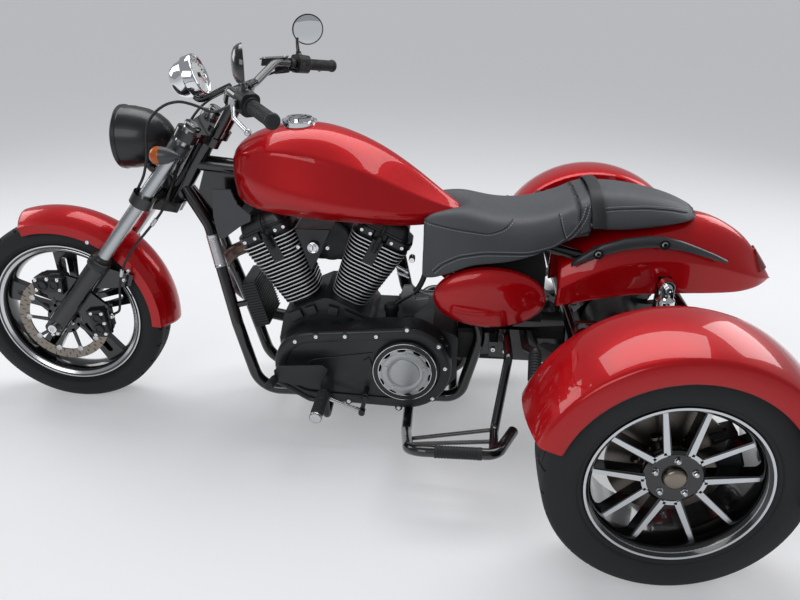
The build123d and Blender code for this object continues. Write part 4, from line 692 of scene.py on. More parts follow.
hose_rubber = grained("hose_rubber", "hose_rubber", "#17181A", 0.45, grain_mm=1.2, depth_mm=0.03)
wire("oil_hose", [at(1196, -34, 566), at(1194, -36, 530), at(1176, -38, 470), at(1150, -40, 438), at(1112, -42, 420),
     at(1088, -42, 396)], 9, hose_rubber)
for hand, bank in ((-1, "front"), (1, "rear")):
    wire(f"{bank}_plug_lead", [lean_point(hand, 1, -82, 426), lean_point(hand, 1, -84, 446),
         lean_point(hand, 2 - hand * 2, -78, 466), lean_point(hand, -hand * 8, -60, 480)], 4, hose_rubber)

# Exhaust: steel headers, browned by heat near the front port, into black ceramic-coated
# mufflers; a flange clamps the header to the head
exhaust_coat, tree, shader = plain_surface("heat_tinted_exhaust_coat", "exhaust_steel", "#121315", 0.34, 0.4, 0.2)
place = add_node(tree, "TexCoord").outputs["Object"]
# The tint runs from the front port, about 300 mm down the pipe
from_port = add_node(tree, "VectorMath", {0: place, 1: tuple(at(610, 0, 520))}, operation="DISTANCE")
tint = add_node(tree, "MapRange", {"Value": from_port.outputs["Value"], "From Min": 0.08, "From Max": 0.3})
heat = noise(tree, place, 9.0, 4.0)
brown = two_tone(tree, heat.outputs["Fac"], srgb("#3A2C26"), srgb("#7D6355"))
tone = two_tone(tree, tint.outputs["Result"], brown, srgb("#121315"))
grain = noise(tree, place, 900.0, 4.0)
bump = add_node(tree, "Bump", {"Height": grain.outputs["Fac"], "Distance": 0.00005})
tree.links.new(tone, shader.inputs["Base Color"])
tree.links.new(bump.outputs["Normal"], shader.inputs["Normal"])
finish_cad(exhaust_coat, "exhaust")
turned("header_flange", lean_point(-1, -94, 26, 388), lean_point(-1, -1, 0, 0) - lean_point(-1, 0, 0, 0), [(0, 35),
       (9, 35), (11, 33), (11, 22.4)], 32, exhaust_coat, smooth=40)

# Oil cooler: a soldered aluminium core in black, ahead of the crankcase and leaned like the
# downtubes, with thin fins across it
finish_cad(satin_black, "oil_cooler")
cooler_fins = bmesh.new()
for k in range(17):
    share = (k + 0.5) / 17
    s, z = 606 + 40 * share, 468 - 152 * share
    prism(cooler_fins, [(s - 4, z + 1.3), (s + 46, z + 12 + 1.3), (s + 46, z + 12 - 0.7), (s - 4, z - 0.7)], -80.5,
          80.5)
place_piece("cooler_fins", cooler_fins,
            grained("black_anodised_fins", "black_engine", "#24262A", 0.38, 0.6, grain_mm=1.2, depth_mm=0.03),
            smooth=30)

# Heat sleeve: a ribbed, zinc-plated sleeve round the left downtube, beside the front cylinder,
# with a plain collar at each end
low, high = at(532.3, -48, 540), at(517.3, -37.7, 600)
turned("downtube_sleeve", low, high - low, [(-26, 19.3), (-25, 20.8), (-19, 20.8), (-18, 20.2)]
       + ribbed(-16, 6, 14, ((0, 20.0), (2, 20.6), (4, 20.6))) + [(72, 20.2), (73, 20.8), (79, 20.8), (80, 19.3)], 32,
       zinc_plate, smooth=40)

# Front wheel: cast aluminium in gloss black with five broad slotted spokes and a turned lip on
# each edge of the rim
FRONT_HUB = (0.0, 0.0, 320.0)
wheel = bmesh.new()
half = [(242, 47), (243, 44.5), (232, 42), (229, 40), (228, 36), (214, 20), (212, 0)]
inner = [(209, 0), (211, 18), (217, 36), (222, 41.5), (232, 45.5)]
spin(wheel, half + [(r, -y) for r, y in reversed(half[:-1])] + [(r, -y) for r, y in reversed(inner[1:])] + inner,
     FRONT_HUB, 160)
spin(wheel, [(14, -69), (36, -69), (40, -66), (40, 59), (36, 62), (14, 62)], FRONT_HUB, 64)
for k in range(5):
    turn = radians(18 + 72 * k)
    out, across = Vector((cos(turn), 0, sin(turn))), Vector((-sin(turn), 0, cos(turn)))
    outer = [(36, -24), (124, -28), (196, -33), (215, -35), (215, 35), (196, 33), (124, 28), (36, 24)]
    slot = [(62, -8), (124, -11), (184, -9), (190, -3), (190, 3), (184, 9), (124, 11), (62, 8)]
    rings = []
    for outline, half_t in ((outer, -14), (outer, 14), (slot, 14), (slot, -14)):
        rings.append([at(0, half_t, FRONT_HUB[2]) + (out * a + across * b) / 1000 for a, b in outline])
    loft(wheel, rings + rings[:1])
place_piece("front_wheel_casting", wheel, wheel_enamel, "front_wheel", bevel=1.5, replaces=("front_rim",))
turned_lip = turned_metal("turned_rim_lip", "black_wheel", "#D2D4D6", 0.18, at(*FRONT_HUB), 0.8)
lip = bmesh.new()
for hand in (-1, 1):
    spin(lip, [(239, hand * 47.3), (243, hand * 47.3), (243, hand * 46), (238.6, hand * 46.4)], FRONT_HUB, 180)
    spin(lip, [(222, hand * 41.2), (232, hand * 47.2), (233, hand * 46.6), (223, hand * 40.4)], FRONT_HUB, 180)
place_piece("front_rim_lips", lip, turned_lip, "front_wheel", smooth=30)
hub_trim = bmesh.new()
lathe(hub_trim, at(0, -69, FRONT_HUB[2]), (0, -1, 0), [(0, 40), (3, 38), (3, 30)], 48)
for k in range(5):
    s, z = polar(FRONT_HUB, 31, 36 + 72 * k)
    bolt(hub_trim, at(s, -75.4, z), (0, -1, 0), 7, 5)
place_piece("front_hub_trim", hub_trim, bright_bolt, "front_wheel", smooth=30)
tyre_piece("front_tyre_carcass", FRONT_HUB, "front_wheel", "front_tyre", 320, 130, 228, 41, 22, 46, (9,), 0.12)

# Front brake disc: ground stainless steel, drilled in rows, riveted through ten bright bobbins
# to a black carrier with ten arms
ground_steel = turned_metal("ground_disc_steel", "brake_steel", "#8D857C", 0.32, at(*FRONT_HUB), 0.9)
DISC_Y, DISC_HALF = -74.5, 2.5
ring = bmesh.new()
spin(ring, [(118, DISC_Y - DISC_HALF), (128, DISC_Y - DISC_HALF), (138, DISC_Y - DISC_HALF),
     (150, DISC_Y - DISC_HALF), (150, DISC_Y + DISC_HALF), (138, DISC_Y + DISC_HALF), (128, DISC_Y + DISC_HALF),
     (118, DISC_Y + DISC_HALF)], FRONT_HUB, 200)
ring.faces.ensure_lookup_table()
centre = at(*FRONT_HUB)
holes = []
for face in ring.faces:
    middle = face.calc_center_median()
    off = Vector((middle.x - centre.x, middle.z - centre.z))
    flat = abs(abs(middle.y * 1000 - DISC_Y) - DISC_HALF) < 0.05
    row = round((off.length * 1000 - 123) / 10.5)
    step = round(atan2(off.y, off.x) / tau * 200 - 0.5)
    if flat and (step + 3 * row) % 8 == 0:
        holes.append(face)
bmesh.ops.inset_individual(ring, faces=holes, thickness=0.0006, depth=-0.0021, use_even_offset=True)
place_piece("front_disc_ring", ring, ground_steel, "front_wheel", smooth=30)
carrier = bmesh.new()
for k in range(10):
    foot, tip = 36 * k + 12, 36 * k
    flat_spoke(carrier, FRONT_HUB, (44, foot), (119, tip), 13, 10, DISC_Y + 2, DISC_Y - 3)
spin(carrier, [(20, DISC_Y - 3), (56, DISC_Y - 3), (56, DISC_Y + 3), (20, DISC_Y + 3)], FRONT_HUB, 72)
place_piece("front_disc_carrier", carrier, wheel_enamel, "front_wheel", slot="brake_steel", bevel=1,
            replaces=("front_disc",))
bobbins = bmesh.new()
for k in range(10):
    s, z = polar(FRONT_HUB, 118, 36 * k)
    lathe(bobbins, at(s, DISC_Y - 2, z), (0, -1, 0), [(0, 9.5), (2.4, 9.5), (3, 8.8), (3, 6), (1.8, 5.4), (1.8, 2)],
          24)
place_piece("disc_bobbins", bobbins, zinc_plate, "front_wheel", slot="brake_steel", smooth=35)

# Fork: ground and hard-chromed tubes in gloss black sliders and cast clamps; the axle is zinc
# plated and pinched in the sliders' feet
fork_chrome = grained("hard_chromed_fork_tube", None, "#B9BBBD", 0.24, 1.0, grain_mm=5, depth_mm=0.01, spread=0.04)
finish_cad(powder_coat, "fork_sliders", "triple_clamps", "risers", "handlebar")
finish_cad(fork_chrome, "fork_tubes")
finish_cad(zinc_plate, "front_axle")
# The legs lean back more than the stem that they turn about
FORK_RAKE, FORK_HALF_WIDTH = radians(38.2), 118
fork_axis = Vector((sin(FORK_RAKE), 0, cos(FORK_RAKE)))


def fork_point(y, distance):
    """Point on a fork leg's axis, a distance up the leg from the wheel axle."""
    return at(0, y, FRONT_HUB[2]) + fork_axis * (distance / 1000)


# Columns: station, y, z, head radius
SLIDER_BOLTS = ((-6, 148.2, 296, 6), (10, 148.2, 300, 6), (137, 94, 470, 7), (232, 94, 474, 7))
for hand, side_word in SIDES:
    turned(f"fork_seal_{side_word}", fork_point(hand * FORK_HALF_WIDTH, 294), fork_axis, [(-30, 33.6), (-28, 35),
           (-6, 35), (-2, 33), (2.4, 30), (5, 27), (10, 25.4), (14, 24.6), (14.5, 22)], 48, satin_black, "steering",
           smooth=50)
    turned(f"fork_cap_{side_word}", fork_point(hand * FORK_HALF_WIDTH, 829), fork_axis, [(-2, 25), (1, 25.6),
           (8, 25.6), (11, 22), (12, 8)], 48, powder_coat, "steering", smooth=45)
    turned(f"fork_adjuster_{side_word}", fork_point(hand * FORK_HALF_WIDTH, 839.6), fork_axis, [(0, 15), (1.6, 14.4),
           (2, 12)], 40, zinc_plate, "steering", smooth=40)
    bolted(f"slider_bolts_{side_word}", [(at(s, hand * y, z), (0, hand, 0), r, 5) for s, y, z, r in SLIDER_BOLTS],
           bright_bolt, "steering", smooth=30)
turned("axle_end", at(0, -160, FRONT_HUB[2]), (0, -1, 0), [(0, 14.4), (1.4, 13.4), (1.4, 8), (-3, 7.4), (-3, 1)],
       32, bright_bolt, "steering", smooth=30)

# Front calipers: cast aluminium in satin black on the left disc, round the flat carriers, each
# with two halves and a bridge, two piston caps and five bolts
for name, angle in (("behind", 4), ("ahead", 92)):
    turn = radians(angle)
    out, along = Vector((cos(turn), 0, sin(turn))), Vector((-sin(turn), 0, cos(turn)))
    block = bmesh.new()
    # Columns: y, then inner and outer radius; the middle ones bridge the disc's edge
    for slices in (((-127, 118, 156, 40), (-124, 112, 164, 48), (-112, 109, 168, 52), (-79.5, 112, 168, 48)),
                   ((-80, 153, 168, 40), (-69, 153, 168, 40)),
                   ((-69.5, 116, 166, 44), (-60, 116, 164, 42), (-56, 120, 156, 34))):
        rings = []
        for y, low, high, half in slices:
            spots = ((low, -half + 12), (low + 10, -half), (high - 10, -half), (high, -half + 14), (high, half - 14),
                     (high - 10, half), (low + 10, half), (low, half - 12))
            rings.append([at(0, y, FRONT_HUB[2]) + (out * r + along * a) / 1000 for r, a in spots])
        loft(block, rings, True)
    for side in (-1, 1):
        flat_spoke(block, FRONT_HUB, (114, angle + side * 19), (164, angle + side * 15), 17, 14, -110, -130)
    place_piece(f"caliper_{name}", block, satin_black, "steering", bevel=2.5, replaces=("front_calipers",))
    caps = bmesh.new()
    for off in (-19, 19):
        s, z = polar(FRONT_HUB, 139, angle)
        cs, cz = s - off * sin(radians(angle)), z + off * cos(radians(angle))
        lathe(caps, at(cs, -125, cz), (0, -1, 0), [(0, 17), (6, 17), (9, 14.5), (9, 10), (6.4, 9), (6.4, 1)], 32)
    place_piece(f"caliper_{name}_pistons", caps, satin_black, "steering", smooth=35)
    studs = bmesh.new()
    for off, r in ((-38, 124), (38, 124), (-36, 158), (36, 158), (0, 159)):
        s, z = polar(FRONT_HUB, r, angle)
        high = -128.6 if off else -124.5
        bolt(studs, at(s - off * sin(radians(angle)), high, z + off * cos(radians(angle))), (0, -1, 0), 6.4, 5)
    place_piece(f"caliper_{name}_bolts", studs, bright_bolt, "steering", smooth=30)
turned("caliper_banjo", at(172, -96, 344), (0, -1, 0), [(-8, 9), (2, 9), (3, 7), (9, 6.5), (10, 4)], 24, bright_bolt,
       "steering", smooth=35)

# Brake hose and clutch cable: rubber-covered, held at both ends; the hose runs from the rear
# caliper up behind the leg to the right lever, the cable loops ahead of the clamps
finish_cad(hose_rubber, "brake_hose", "clutch_cable")
sleeves = bmesh.new()
for base, tip in (((240, -128, 500), (247, -130, 524)), ((356, -121, 669), (372, -115, 690))):
    start, end = at(*base), at(*tip)
    lathe(sleeves, start, end - start, [(0, 5), (1, 6.4), ((end - start).length * 1000 - 1, 6.4),
          ((end - start).length * 1000, 5)], 20)
place_piece("hose_ferrules", sleeves, zinc_plate, "steering", smooth=40)

# Bars: one tube in gloss black, held in two risers; rubber grips with moulded ribs and a round
# end, switch housings in matt plastic and polished levers with ball ends
grip_rubber = grained("ribbed_grip_rubber", "rubber", "#222426", 0.6, grain_mm=0.8, depth_mm=0.06)
switch_black = grained("matt_black_switch_plastic", "black_plastic", "#161719", 0.55, grain_mm=0.7, depth_mm=0.06)
lever_alloy = grained("polished_lever_alloy", "cast_aluminium", "#C6C8CA", 0.26, 1.0, grain_mm=3, depth_mm=0.02,
                      spread=0.05)
finish_cad(grip_rubber, "grips")
finish_cad(switch_black, "switch_housings")
finish_cad(lever_alloy, "levers")
GRIP_IN, GRIP_END = (742.0, 356.0, 1087.0), (826.0, 465.0, 1068.0)


def along_grip(hand, distance):
    """Point on a grip's axis, a distance inward from its outer end."""
    end, inner = at(GRIP_END[0], hand * GRIP_END[1], GRIP_END[2]), at(GRIP_IN[0], hand * GRIP_IN[1], GRIP_IN[2])
    return end + (inner - end).normalized() * distance / 1000


for hand, side_word in SIDES:
    inward = along_grip(hand, 1) - along_grip(hand, 0)
    ribs = bmesh.new()
    lathe(ribs, along_grip(hand, 2), inward, [(0, 17.2)] + ribbed(6, 6.6, 15, ((0, 17.2), (0.8, 18.3), (4.2, 18.3),
          (5, 17.2))) + [(107, 17.2)], 40)
    lathe(ribs, along_grip(hand, -12), inward, [(0, 12), (0.6, 17), (3, 20), (8, 21), (13, 20), (15, 17.6)], 40)
    place_piece(f"grip_ribs_{side_word}", ribs, grip_rubber, "steering", smooth=40)
    turned(f"switch_shell_{side_word}", along_grip(hand, 118), inward, [(0, 22), (2, 25), (20, 26), (22, 24.6),
           (24, 26), (42, 25), (44, 21)], 40, switch_black, "steering", smooth=40)
    turned(f"lever_perch_{side_word}", along_grip(hand, 172), inward, [(0, 15), (1, 17), (17, 17), (18, 15)], 32,
           switch_black, "steering", smooth=40)

# Switch keys: small moulded pads on top of the housings in black rubber, and a red stop switch
# on the right housing
keys = bmesh.new()
for offset, lift, spread in ((128, 26, 7), (146, 26, 6)):
    for hand in (-1, 1):
        top = along_grip(hand, offset) + Vector((0.0, 0.0, lift / 1000))
        lathe(keys, top, (0.1, 0, 1), [(-3, spread), (2, spread), (3.4, spread - 1.5)], 20)
place_piece("switch_keys", keys, moulded_rubber, "steering", slot="black_plastic", smooth=40)
turned("red_stop_switch", along_grip(1, 140) + Vector((-0.016, 0, 0.019)), (-0.4, 0, 1), [(0, 9), (6, 9), (8, 7.4),
       (8, 3)], 24, grained("red_switch_plastic", "red_paint", "#B3202A", 0.4, coat=0.1, grain_mm=2, depth_mm=0.02),
       "steering", smooth=40)

# Brake fluid reservoir: a moulded black box on a bracket at the right perch, under a gloss lid
# held by two screws
plate("brake_reservoir", [(620, 1086), (624, 1106), (704, 1112), (710, 1090)], 296, 334, switch_black, "steering",
      bevel=3)
plate("reservoir_lid", [(618, 1106), (618, 1110), (706, 1116), (707, 1112)], 293, 337, powder_coat, "steering",
      bevel=1.2)
bolted("reservoir_screws", [(at(*spot), (-0.07, 0, 1), 4, 2.4) for spot in ((632, 300, 1110),
       (692, 330, 1114.5))], bright_bolt, "steering", smooth=30)
plate("reservoir_bracket", [(664, 1060), (664, 1090), (700, 1092), (712, 1066)], 300, 318, switch_black, "steering",
      bevel=2)

# Mirrors: a bent stem on each housing, and a domed black shell round a slightly convex glass;
# columns: distance toward the rider, half width, half height
MIRROR_SHELL = ((-17, 18, 14), (-14, 34, 29), (-8, 47, 40), (0, 54, 46), (8, 57, 49), (11, 57, 49),
                (11.6, 55, 47), (9.6, 53.6, 45.6))
MIRROR_GLASS = ((9.7, 53, 45), (10.6, 53, 45), (11.4, 40, 34), (11.8, 20, 17), (11.9, 4, 4))


def ovals(middle, out, turn, sizes):
    """Upright rings from (distance along out, half width, half height)."""
    return [[middle + out * off / 1000 + turn * wide * cos(tau * k / 48) / 1000
             + Vector((0, 0, tall * sin(tau * k / 48) / 1000)) for k in range(48)] for off, wide, tall in sizes]


mirror_glass = grained("silvered_mirror_glass", "chrome", "#EEF1F4", 0.02, 1.0, grain_mm=100, depth_mm=0.0,
                       spread=0.01)
for hand, side_word, (s, y, z), facing in ((-1, "left", (742, 412, 1188), (0.96, 0.28)),
                                           (1, "right", (758, 398, 1194), (0.6, -0.8))):
    out = Vector((facing[0], facing[1], 0)).normalized()
    turn = Vector((-out.y, out.x, 0))
    middle = at(s, hand * y, z)
    shell = bmesh.new()
    loft(shell, ovals(middle, out, turn, MIRROR_SHELL), True)
    place_piece(f"mirror_shell_{side_word}", shell, powder_coat, "steering", smooth=40, replaces=("mirrors",))
    foot = along_grip(hand, 141)
    wire(f"mirror_stem_{side_word}", [foot + Vector((-0.004, 0, 0.024)), foot + Vector((-0.008, 0, 0.06)),
         foot + Vector((-0.012, hand * 0.03, 0.1)), at(s - 10, hand * (y - 12), z - 10), middle - out * 0.01], 6,
         powder_coat, "steering")
    turned(f"mirror_collar_{side_word}", foot + Vector((-0.004, 0, 0.022)), (-0.05, 0, 1), [(0, 11), (10, 11),
           (12, 9), (18, 9), (19, 6.5)], 24, powder_coat, "steering", smooth=40)
    glass = bmesh.new()
    loft(glass, ovals(middle, out, turn, MIRROR_GLASS), True)
    place_piece(f"mirror_glass_{side_word}", glass, mirror_glass, "steering", smooth=60)

# Headlight: a deep-drawn steel bucket in satin black round a clear lens, with a bright
# reflector, on its stalk; and the speedometer in a chromed cup with a dial turned to the rider
lamp_black = grained("satin_black_lamp_paint", "black_paint", "#141618", 0.36, coat=0.2, grain_mm=1.2, depth_mm=0.03,
                     spread=0.05)
clear_glass, _, _ = plain_surface("clear_lens_glass", "clear_glass", "#F4F7FA", 0.03,
    **{"Transmission Weight": 0.96, "IOR": 1.52})
chrome_plate = grained("chrome_plated_steel", "chrome", "#E6E8EA", 0.06, 1.0, grain_mm=30, depth_mm=0.005,
                       spread=0.02)
STEM_RAKE = radians(31.8)
steer_axis = Vector((sin(STEM_RAKE), 0, cos(STEM_RAKE)))
steer_fore = Vector((cos(STEM_RAKE), 0, -sin(STEM_RAKE)))


def steer_point(fore, y, height):
    """Point in the steering head: rearward of the stem, to the right, up along the stem."""
    return at(-48, y, 0) + (steer_fore * fore + steer_axis * height) / 1000


lamp_face = at(256, 0, 911)
turned("lamp_bucket", lamp_face, (1, 0, 0), [(-1, 88), (-4, 91), (-4, 94), (-1, 96), (10, 96.4), (12, 94.6), (15, 94),
       (40, 93), (80, 85), (112, 72), (136, 54), (152, 34), (160, 12)], 72, lamp_black, "steering", smooth=30,
       replaces=("headlight",))
turned("lamp_glass", lamp_face, (1, 0, 0), [(-9, 3), (-8, 30), (-5, 56), (1, 80), (4, 87), (9, 87), (6, 78), (0, 54),
       (-4, 28), (-5, 3)], 72, clear_glass, "steering", smooth=50, replaces=("headlight_lens",))
wire("lamp_stalk", [lamp_face + Vector((0.066, 0, -0.076)), lamp_face + Vector((0.072, 0, -0.1)),
     steer_point(-42, 0, 906), steer_point(-42, 0, 866)], 14, lamp_black, "steering")
turned("lamp_reflector", lamp_face, (1, 0, 0), [(8, 80), (12, 78), (20, 66), (25, 44), (26, 16), (12, 14), (8, 10)],
       64, chrome_plate, "steering", smooth=60)
dial_axis = Vector((0.94, 0, 0.34)).normalized()
cup_end = at(470, 0, 1086)
turned("speedometer_cup", cup_end - dial_axis * 0.046, dial_axis, [(0, 3), (1, 20), (6, 32), (16, 44), (32, 51.5),
       (54, 56.5), (58, 60), (59, 62), (88, 62), (91, 60), (92, 57), (90, 55), (85, 54), (84, 50), (84, 3)], 72,
       chrome_plate, "steering", smooth=40, replaces=("speedometer",))
wire("speedometer_arm", [cup_end - Vector((-0.02, 0, 0.05)), cup_end + Vector((0.03, 0, -0.066)), at(560, 0, 1052),
     at(601, 0, 1070)], 9, powder_coat, "steering")
turned("dial_face", cup_end + dial_axis * 0.0384, dial_axis, [(0, 52.6), (0.8, 52.6), (1, 30), (1, 2)], 64,
       grained("printed_dial_face", "black_plastic", "#D6D8D9", 0.38, coat=0.3, grain_mm=2, depth_mm=0.01),
       "steering", smooth=30)
dial_side = dial_axis.cross(Vector((0, 1, 0))).normalized()
marks = bmesh.new()
for k in range(21):
    turn = radians(-40 + k * 13)
    out = Vector((0, cos(turn), 0)) + dial_side * sin(turn)
    across = dial_axis.cross(out) * (0.0011 if k % 2 else 0.0017)
    inner = cup_end + dial_axis * 0.0395 + out * (0.041 if k % 2 else 0.037)
    outer = cup_end + dial_axis * 0.0395 + out * 0.048
    push(marks, [inner + across, outer + across, outer - across, inner - across], dial_axis * 0.0005)
lathe(marks, cup_end + dial_axis * 0.0394, dial_axis, [(0, 7), (4, 7), (5, 5.4)], 24)
place_piece("dial_marks", marks, switch_black, "steering", smooth=30)
needle = bmesh.new()
root = cup_end + dial_axis * 0.042
tip = root + (Vector((0, 0.7, 0)) - dial_side * 0.7) * 0.042
lathe(needle, root, tip - root, [(0, 1.6), (42, 0.6)], 8)
place_piece("dial_needle", needle,
            grained("red_needle_paint", "red_paint", "#C02A20", 0.5, grain_mm=2, depth_mm=0.01), "steering",
            smooth=40)

# Turn signals: bullet pods in satin grey paint on arms clamped to the fork, each with a domed
# amber acrylic lens to the front
pod_grey = grained("satin_grey_paint", "grey_paint", "#45484B", 0.42, 0.3, 0.2, grain_mm=1.1, depth_mm=0.04)
finish_cad(pod_grey, "turn_signals")
amber_lens, _, _ = plain_surface("amber_lens_acrylic", "red_lens", "#E8701A", 0.12,
    **{"Transmission Weight": 0.35, "IOR": 1.49})
for hand, side_word in SIDES:
    pod = fork_point(hand * FORK_HALF_WIDTH, 752) + Vector((-0.014, hand * 0.074, -0.006))
    turned(f"signal_pod_{side_word}", pod, (1, 0, 0), [(-27, 24.2), (-24, 25), (-10, 25.6), (8, 23), (24, 16),
           (38, 7), (44, 2)], 40, pod_grey, "steering", smooth=50)
    turned(f"signal_lens_{side_word}", pod, (1, 0, 0), [(-12, 25.9), (-25, 25.6), (-33, 22), (-40, 15), (-43, 7),
           (-43.6, 1)], 40, amber_lens, "steering", smooth=60)

# Fuel tank: pressed steel in candy red, a translucent red over a fine silver flake under clear
# lacquer. It has a spine, a crease along each shoulder and one low on each flank
candy_red, tree, shader = plain_surface("candy_red_lacquer", "red_paint", "#B8000C", 0.36, 0.3, 0.75,
    **{"Coat Roughness": 0.015, "Specular IOR Level": 0.12})
# Flakes of about 0.4 mm, mixed between a darker and a brighter red
flake = noise(tree, add_node(tree, "TexCoord").outputs["Object"], 2500.0, 1.0)
glint = add_node(tree, "MapRange", {"Value": flake.outputs["Fac"], "From Min": 0.4, "From Max": 0.62})
tone = two_tone(tree, glint.outputs["Result"], srgb("#A80009"), srgb("#D60412"))
tree.links.new(tone, shader.inputs["Base Color"])
finish_cad(candy_red, "front_fender", "fuel_tank", "side_covers", "rear_fender", "trike_fenders")


def mirrored(station, half, top):
    """Points up the right side, over the middle and down the left, from (y, height) pairs."""
    return ([at(station, y, z) for y, z in half] + [at(station, 0, top)]
            + [at(station, -y, z) for y, z in reversed(half)])


def mark_creases(mesh, chains, weight):
    """Subdivision crease along chains of vertices."""
    layer = mesh.edges.layers.float.get("crease_edge") or mesh.edges.layers.float.new("crease_edge")
    for chain in chains:
        for pair in zip(chain, chain[1:]):
            edge = mesh.edges.get(pair)
            if edge:
                edge[layer] = weight


# Columns: station, lower edge height and y, low crease height and y, high crease height and y,
# shoulder height and y, spine height
TANK = (
    (598, 756, 34, 838, 58, 868, 52, 880, 30, 884),
    (625, 738, 72, 836, 100, 887, 88, 908, 56, 914),
    (680, 724, 106, 822, 140, 904, 122, 934, 76, 946),
    (750, 716, 122, 803, 161, 911, 138, 954, 84, 966),
    (827, 709, 128, 786, 170, 906, 142, 958, 84, 972),
    (900, 703, 126, 769, 166, 888, 140, 946, 80, 965),
    (970, 696, 118, 756, 158, 866, 134, 920, 74, 943),
    (1040, 689, 108, 744, 144, 840, 121, 884, 64, 912),
    (1110, 683, 94, 735, 124, 804, 102, 840, 54, 869),
    (1180, 682, 76, 727, 98, 770, 80, 792, 42, 818),
    (1240, 688, 56, 720, 70, 742, 58, 754, 30, 768),
    (1296, 704, 32, 714, 38, 722, 32, 726, 18, 730),
)
tank = bmesh.new()
tank_rings = []
for s, zb, yb, zl, yl, zh, yh, zs, ys, top in TANK:
    half = [(yb * 0.4, zb - 2), (yb * 0.86, zb - 1), (yb, zb + 3), (yl - 3, zb + (zl - zb) * 0.55), (yl, zl),
            (yl * 0.55 + yh * 0.45 - 1, zl * 0.55 + zh * 0.45), (yh, zh), (ys, zs), (ys * 0.4, top - 3)]
    tank_rings.append(mirrored(s, half, top))
tank_rows = loft(tank, tank_rings, True)
count = len(tank_rows[0])
for first, weight, start in ((6, 0.8, 0), (4, 0.35, 0), (2, 0.8, 0), (9, 0.35, 4)):
    mark_creases(tank, [[row[first] for row in tank_rows[start:]]], weight)
    if first != 9:
        mark_creases(tank, [[row[count - 1 - first] for row in tank_rows[start:]]], weight)
place_piece("tank_shell", tank, candy_red, levels=3, replaces=("fuel_tank",))

# Filler cap: a chromed bezel and a raised lid on the tank's top, dished in the middle, with six
# screws round the bezel
finish_cad(chrome_plate, "fuel_cap")
turned("filler_lid", at(800, 0, 972), (0, 0, 1), [(-2, 53), (2, 53), (4.5, 51), (4.5, 43), (1.5, 42), (1.5, 40),
       (8, 39), (12.6, 36), (13.6, 30), (13.6, 14), (12.4, 12), (12.4, 2)], 72, chrome_plate, smooth=35)
bolted("filler_screws", [(at(800 + 47 * cos(tau * k / 6), 47 * sin(tau * k / 6), 976.4), (0, 0, 1), 3.2, 2)
       for k in range(6)], zinc_plate, smooth=30)

# Neck covers: formed sheet in satin grey on each side of the steering neck, held by two black
# screws each
finish_cad(pod_grey, "neck_covers")
for hand, side_word in SIDES:
    bolted(f"neck_cover_screws_{side_word}", [(at(609, hand * 70, 688), (0, hand, 0), 6.5, 3.6),
           (at(552, hand * 70, 640), (0, hand, 0), 5, 3)], satin_black, smooth=30)

# Front fender: rolled steel in the same red, a round crown over straight sides, open underneath
# and held by two screws on each side
front_profile = []
for k in range(25):
    y = -81 + 162 * k / 24
    front_profile.append((362 - 34 * (abs(y) / 77) ** 2.1 if abs(y) < 77 else 326, y))
front_profile = ([(296, -80.5), (310, -81)] + front_profile + [(310, 81), (296, 80.5), (296, 77.5), (312, 78)]
                 + [(r - 3, y * 0.965) for r, y in reversed(front_profile)] + [(312, -78), (296, -77.5)])
shell = bmesh.new()
spin(shell, front_profile, FRONT_HUB, 100, -3.5, 110.5)
place_piece("front_fender_shell", shell, candy_red, "steering", smooth=50, replaces=("front_fender",))
bolted("front_fender_screws", [(at(s, hand * 81, z), (0, hand, 0), 7, 4) for hand in (-1, 1)
       for s, z in ((125, 592), (245, 500))], bright_bolt, "steering", smooth=30)

# Trike fenders: moulded shells in red over the rear wheels, a broad crown that falls to a
# crease, a side band and a rolled lip, bolted to stays on the cross tubes
trike_profile = [(341, 582), (363, 580), (367, 584), (373, 602), (376.4, 632), (377, 670),
                 (374.5, 708), (369, 746), (361, 782), (352.5, 810), (349, 817), (343, 820.5), (318, 822),
                 (298, 822), (292, 820), (290, 816), (292, 814), (300, 818), (343, 817), (352, 800),
                 (366, 742), (373, 670), (369, 606), (360, 586)]
for hand, side_word in SIDES:
    shell = bmesh.new()
    spin(shell, [(r, hand * y) for r, y in trike_profile], (WHEELBASE, 0, REAR_HUB_Z), 120, -8, 170)
    place_piece("trike_fender_" + side_word, shell, candy_red, smooth=50, replaces=("trike_fenders",))

# Battery box and side covers: a moulded box in matt black, and a domed oval cover in red on
# each side; the belt guard is of the same black plastic
plastic_black = grained("matt_black_plastic", None, "#141517", 0.62, grain_mm=0.7, depth_mm=0.08)
finish_cad(plastic_black, "battery_box", "belt_guard")
for hand, side_word in SIDES:
    cover = bmesh.new()
    rings = []
    for inset, rise in ((2, 0), (0, 3), (0.6, 9), (5, 17), (14, 24), (30, 30), (52, 34), (76, 36), (92, 36.6)):
        rings.append([at(1388 + (171 - inset * 1.3) * cos(tau * k / 64), hand * (132 + rise),
                         481 + (100 - inset) * sin(tau * k / 64)) for k in range(64)])
    loft(cover, rings, True)
    place_piece("oval_cover_" + side_word, cover, candy_red, smooth=60, replaces=("side_covers",))

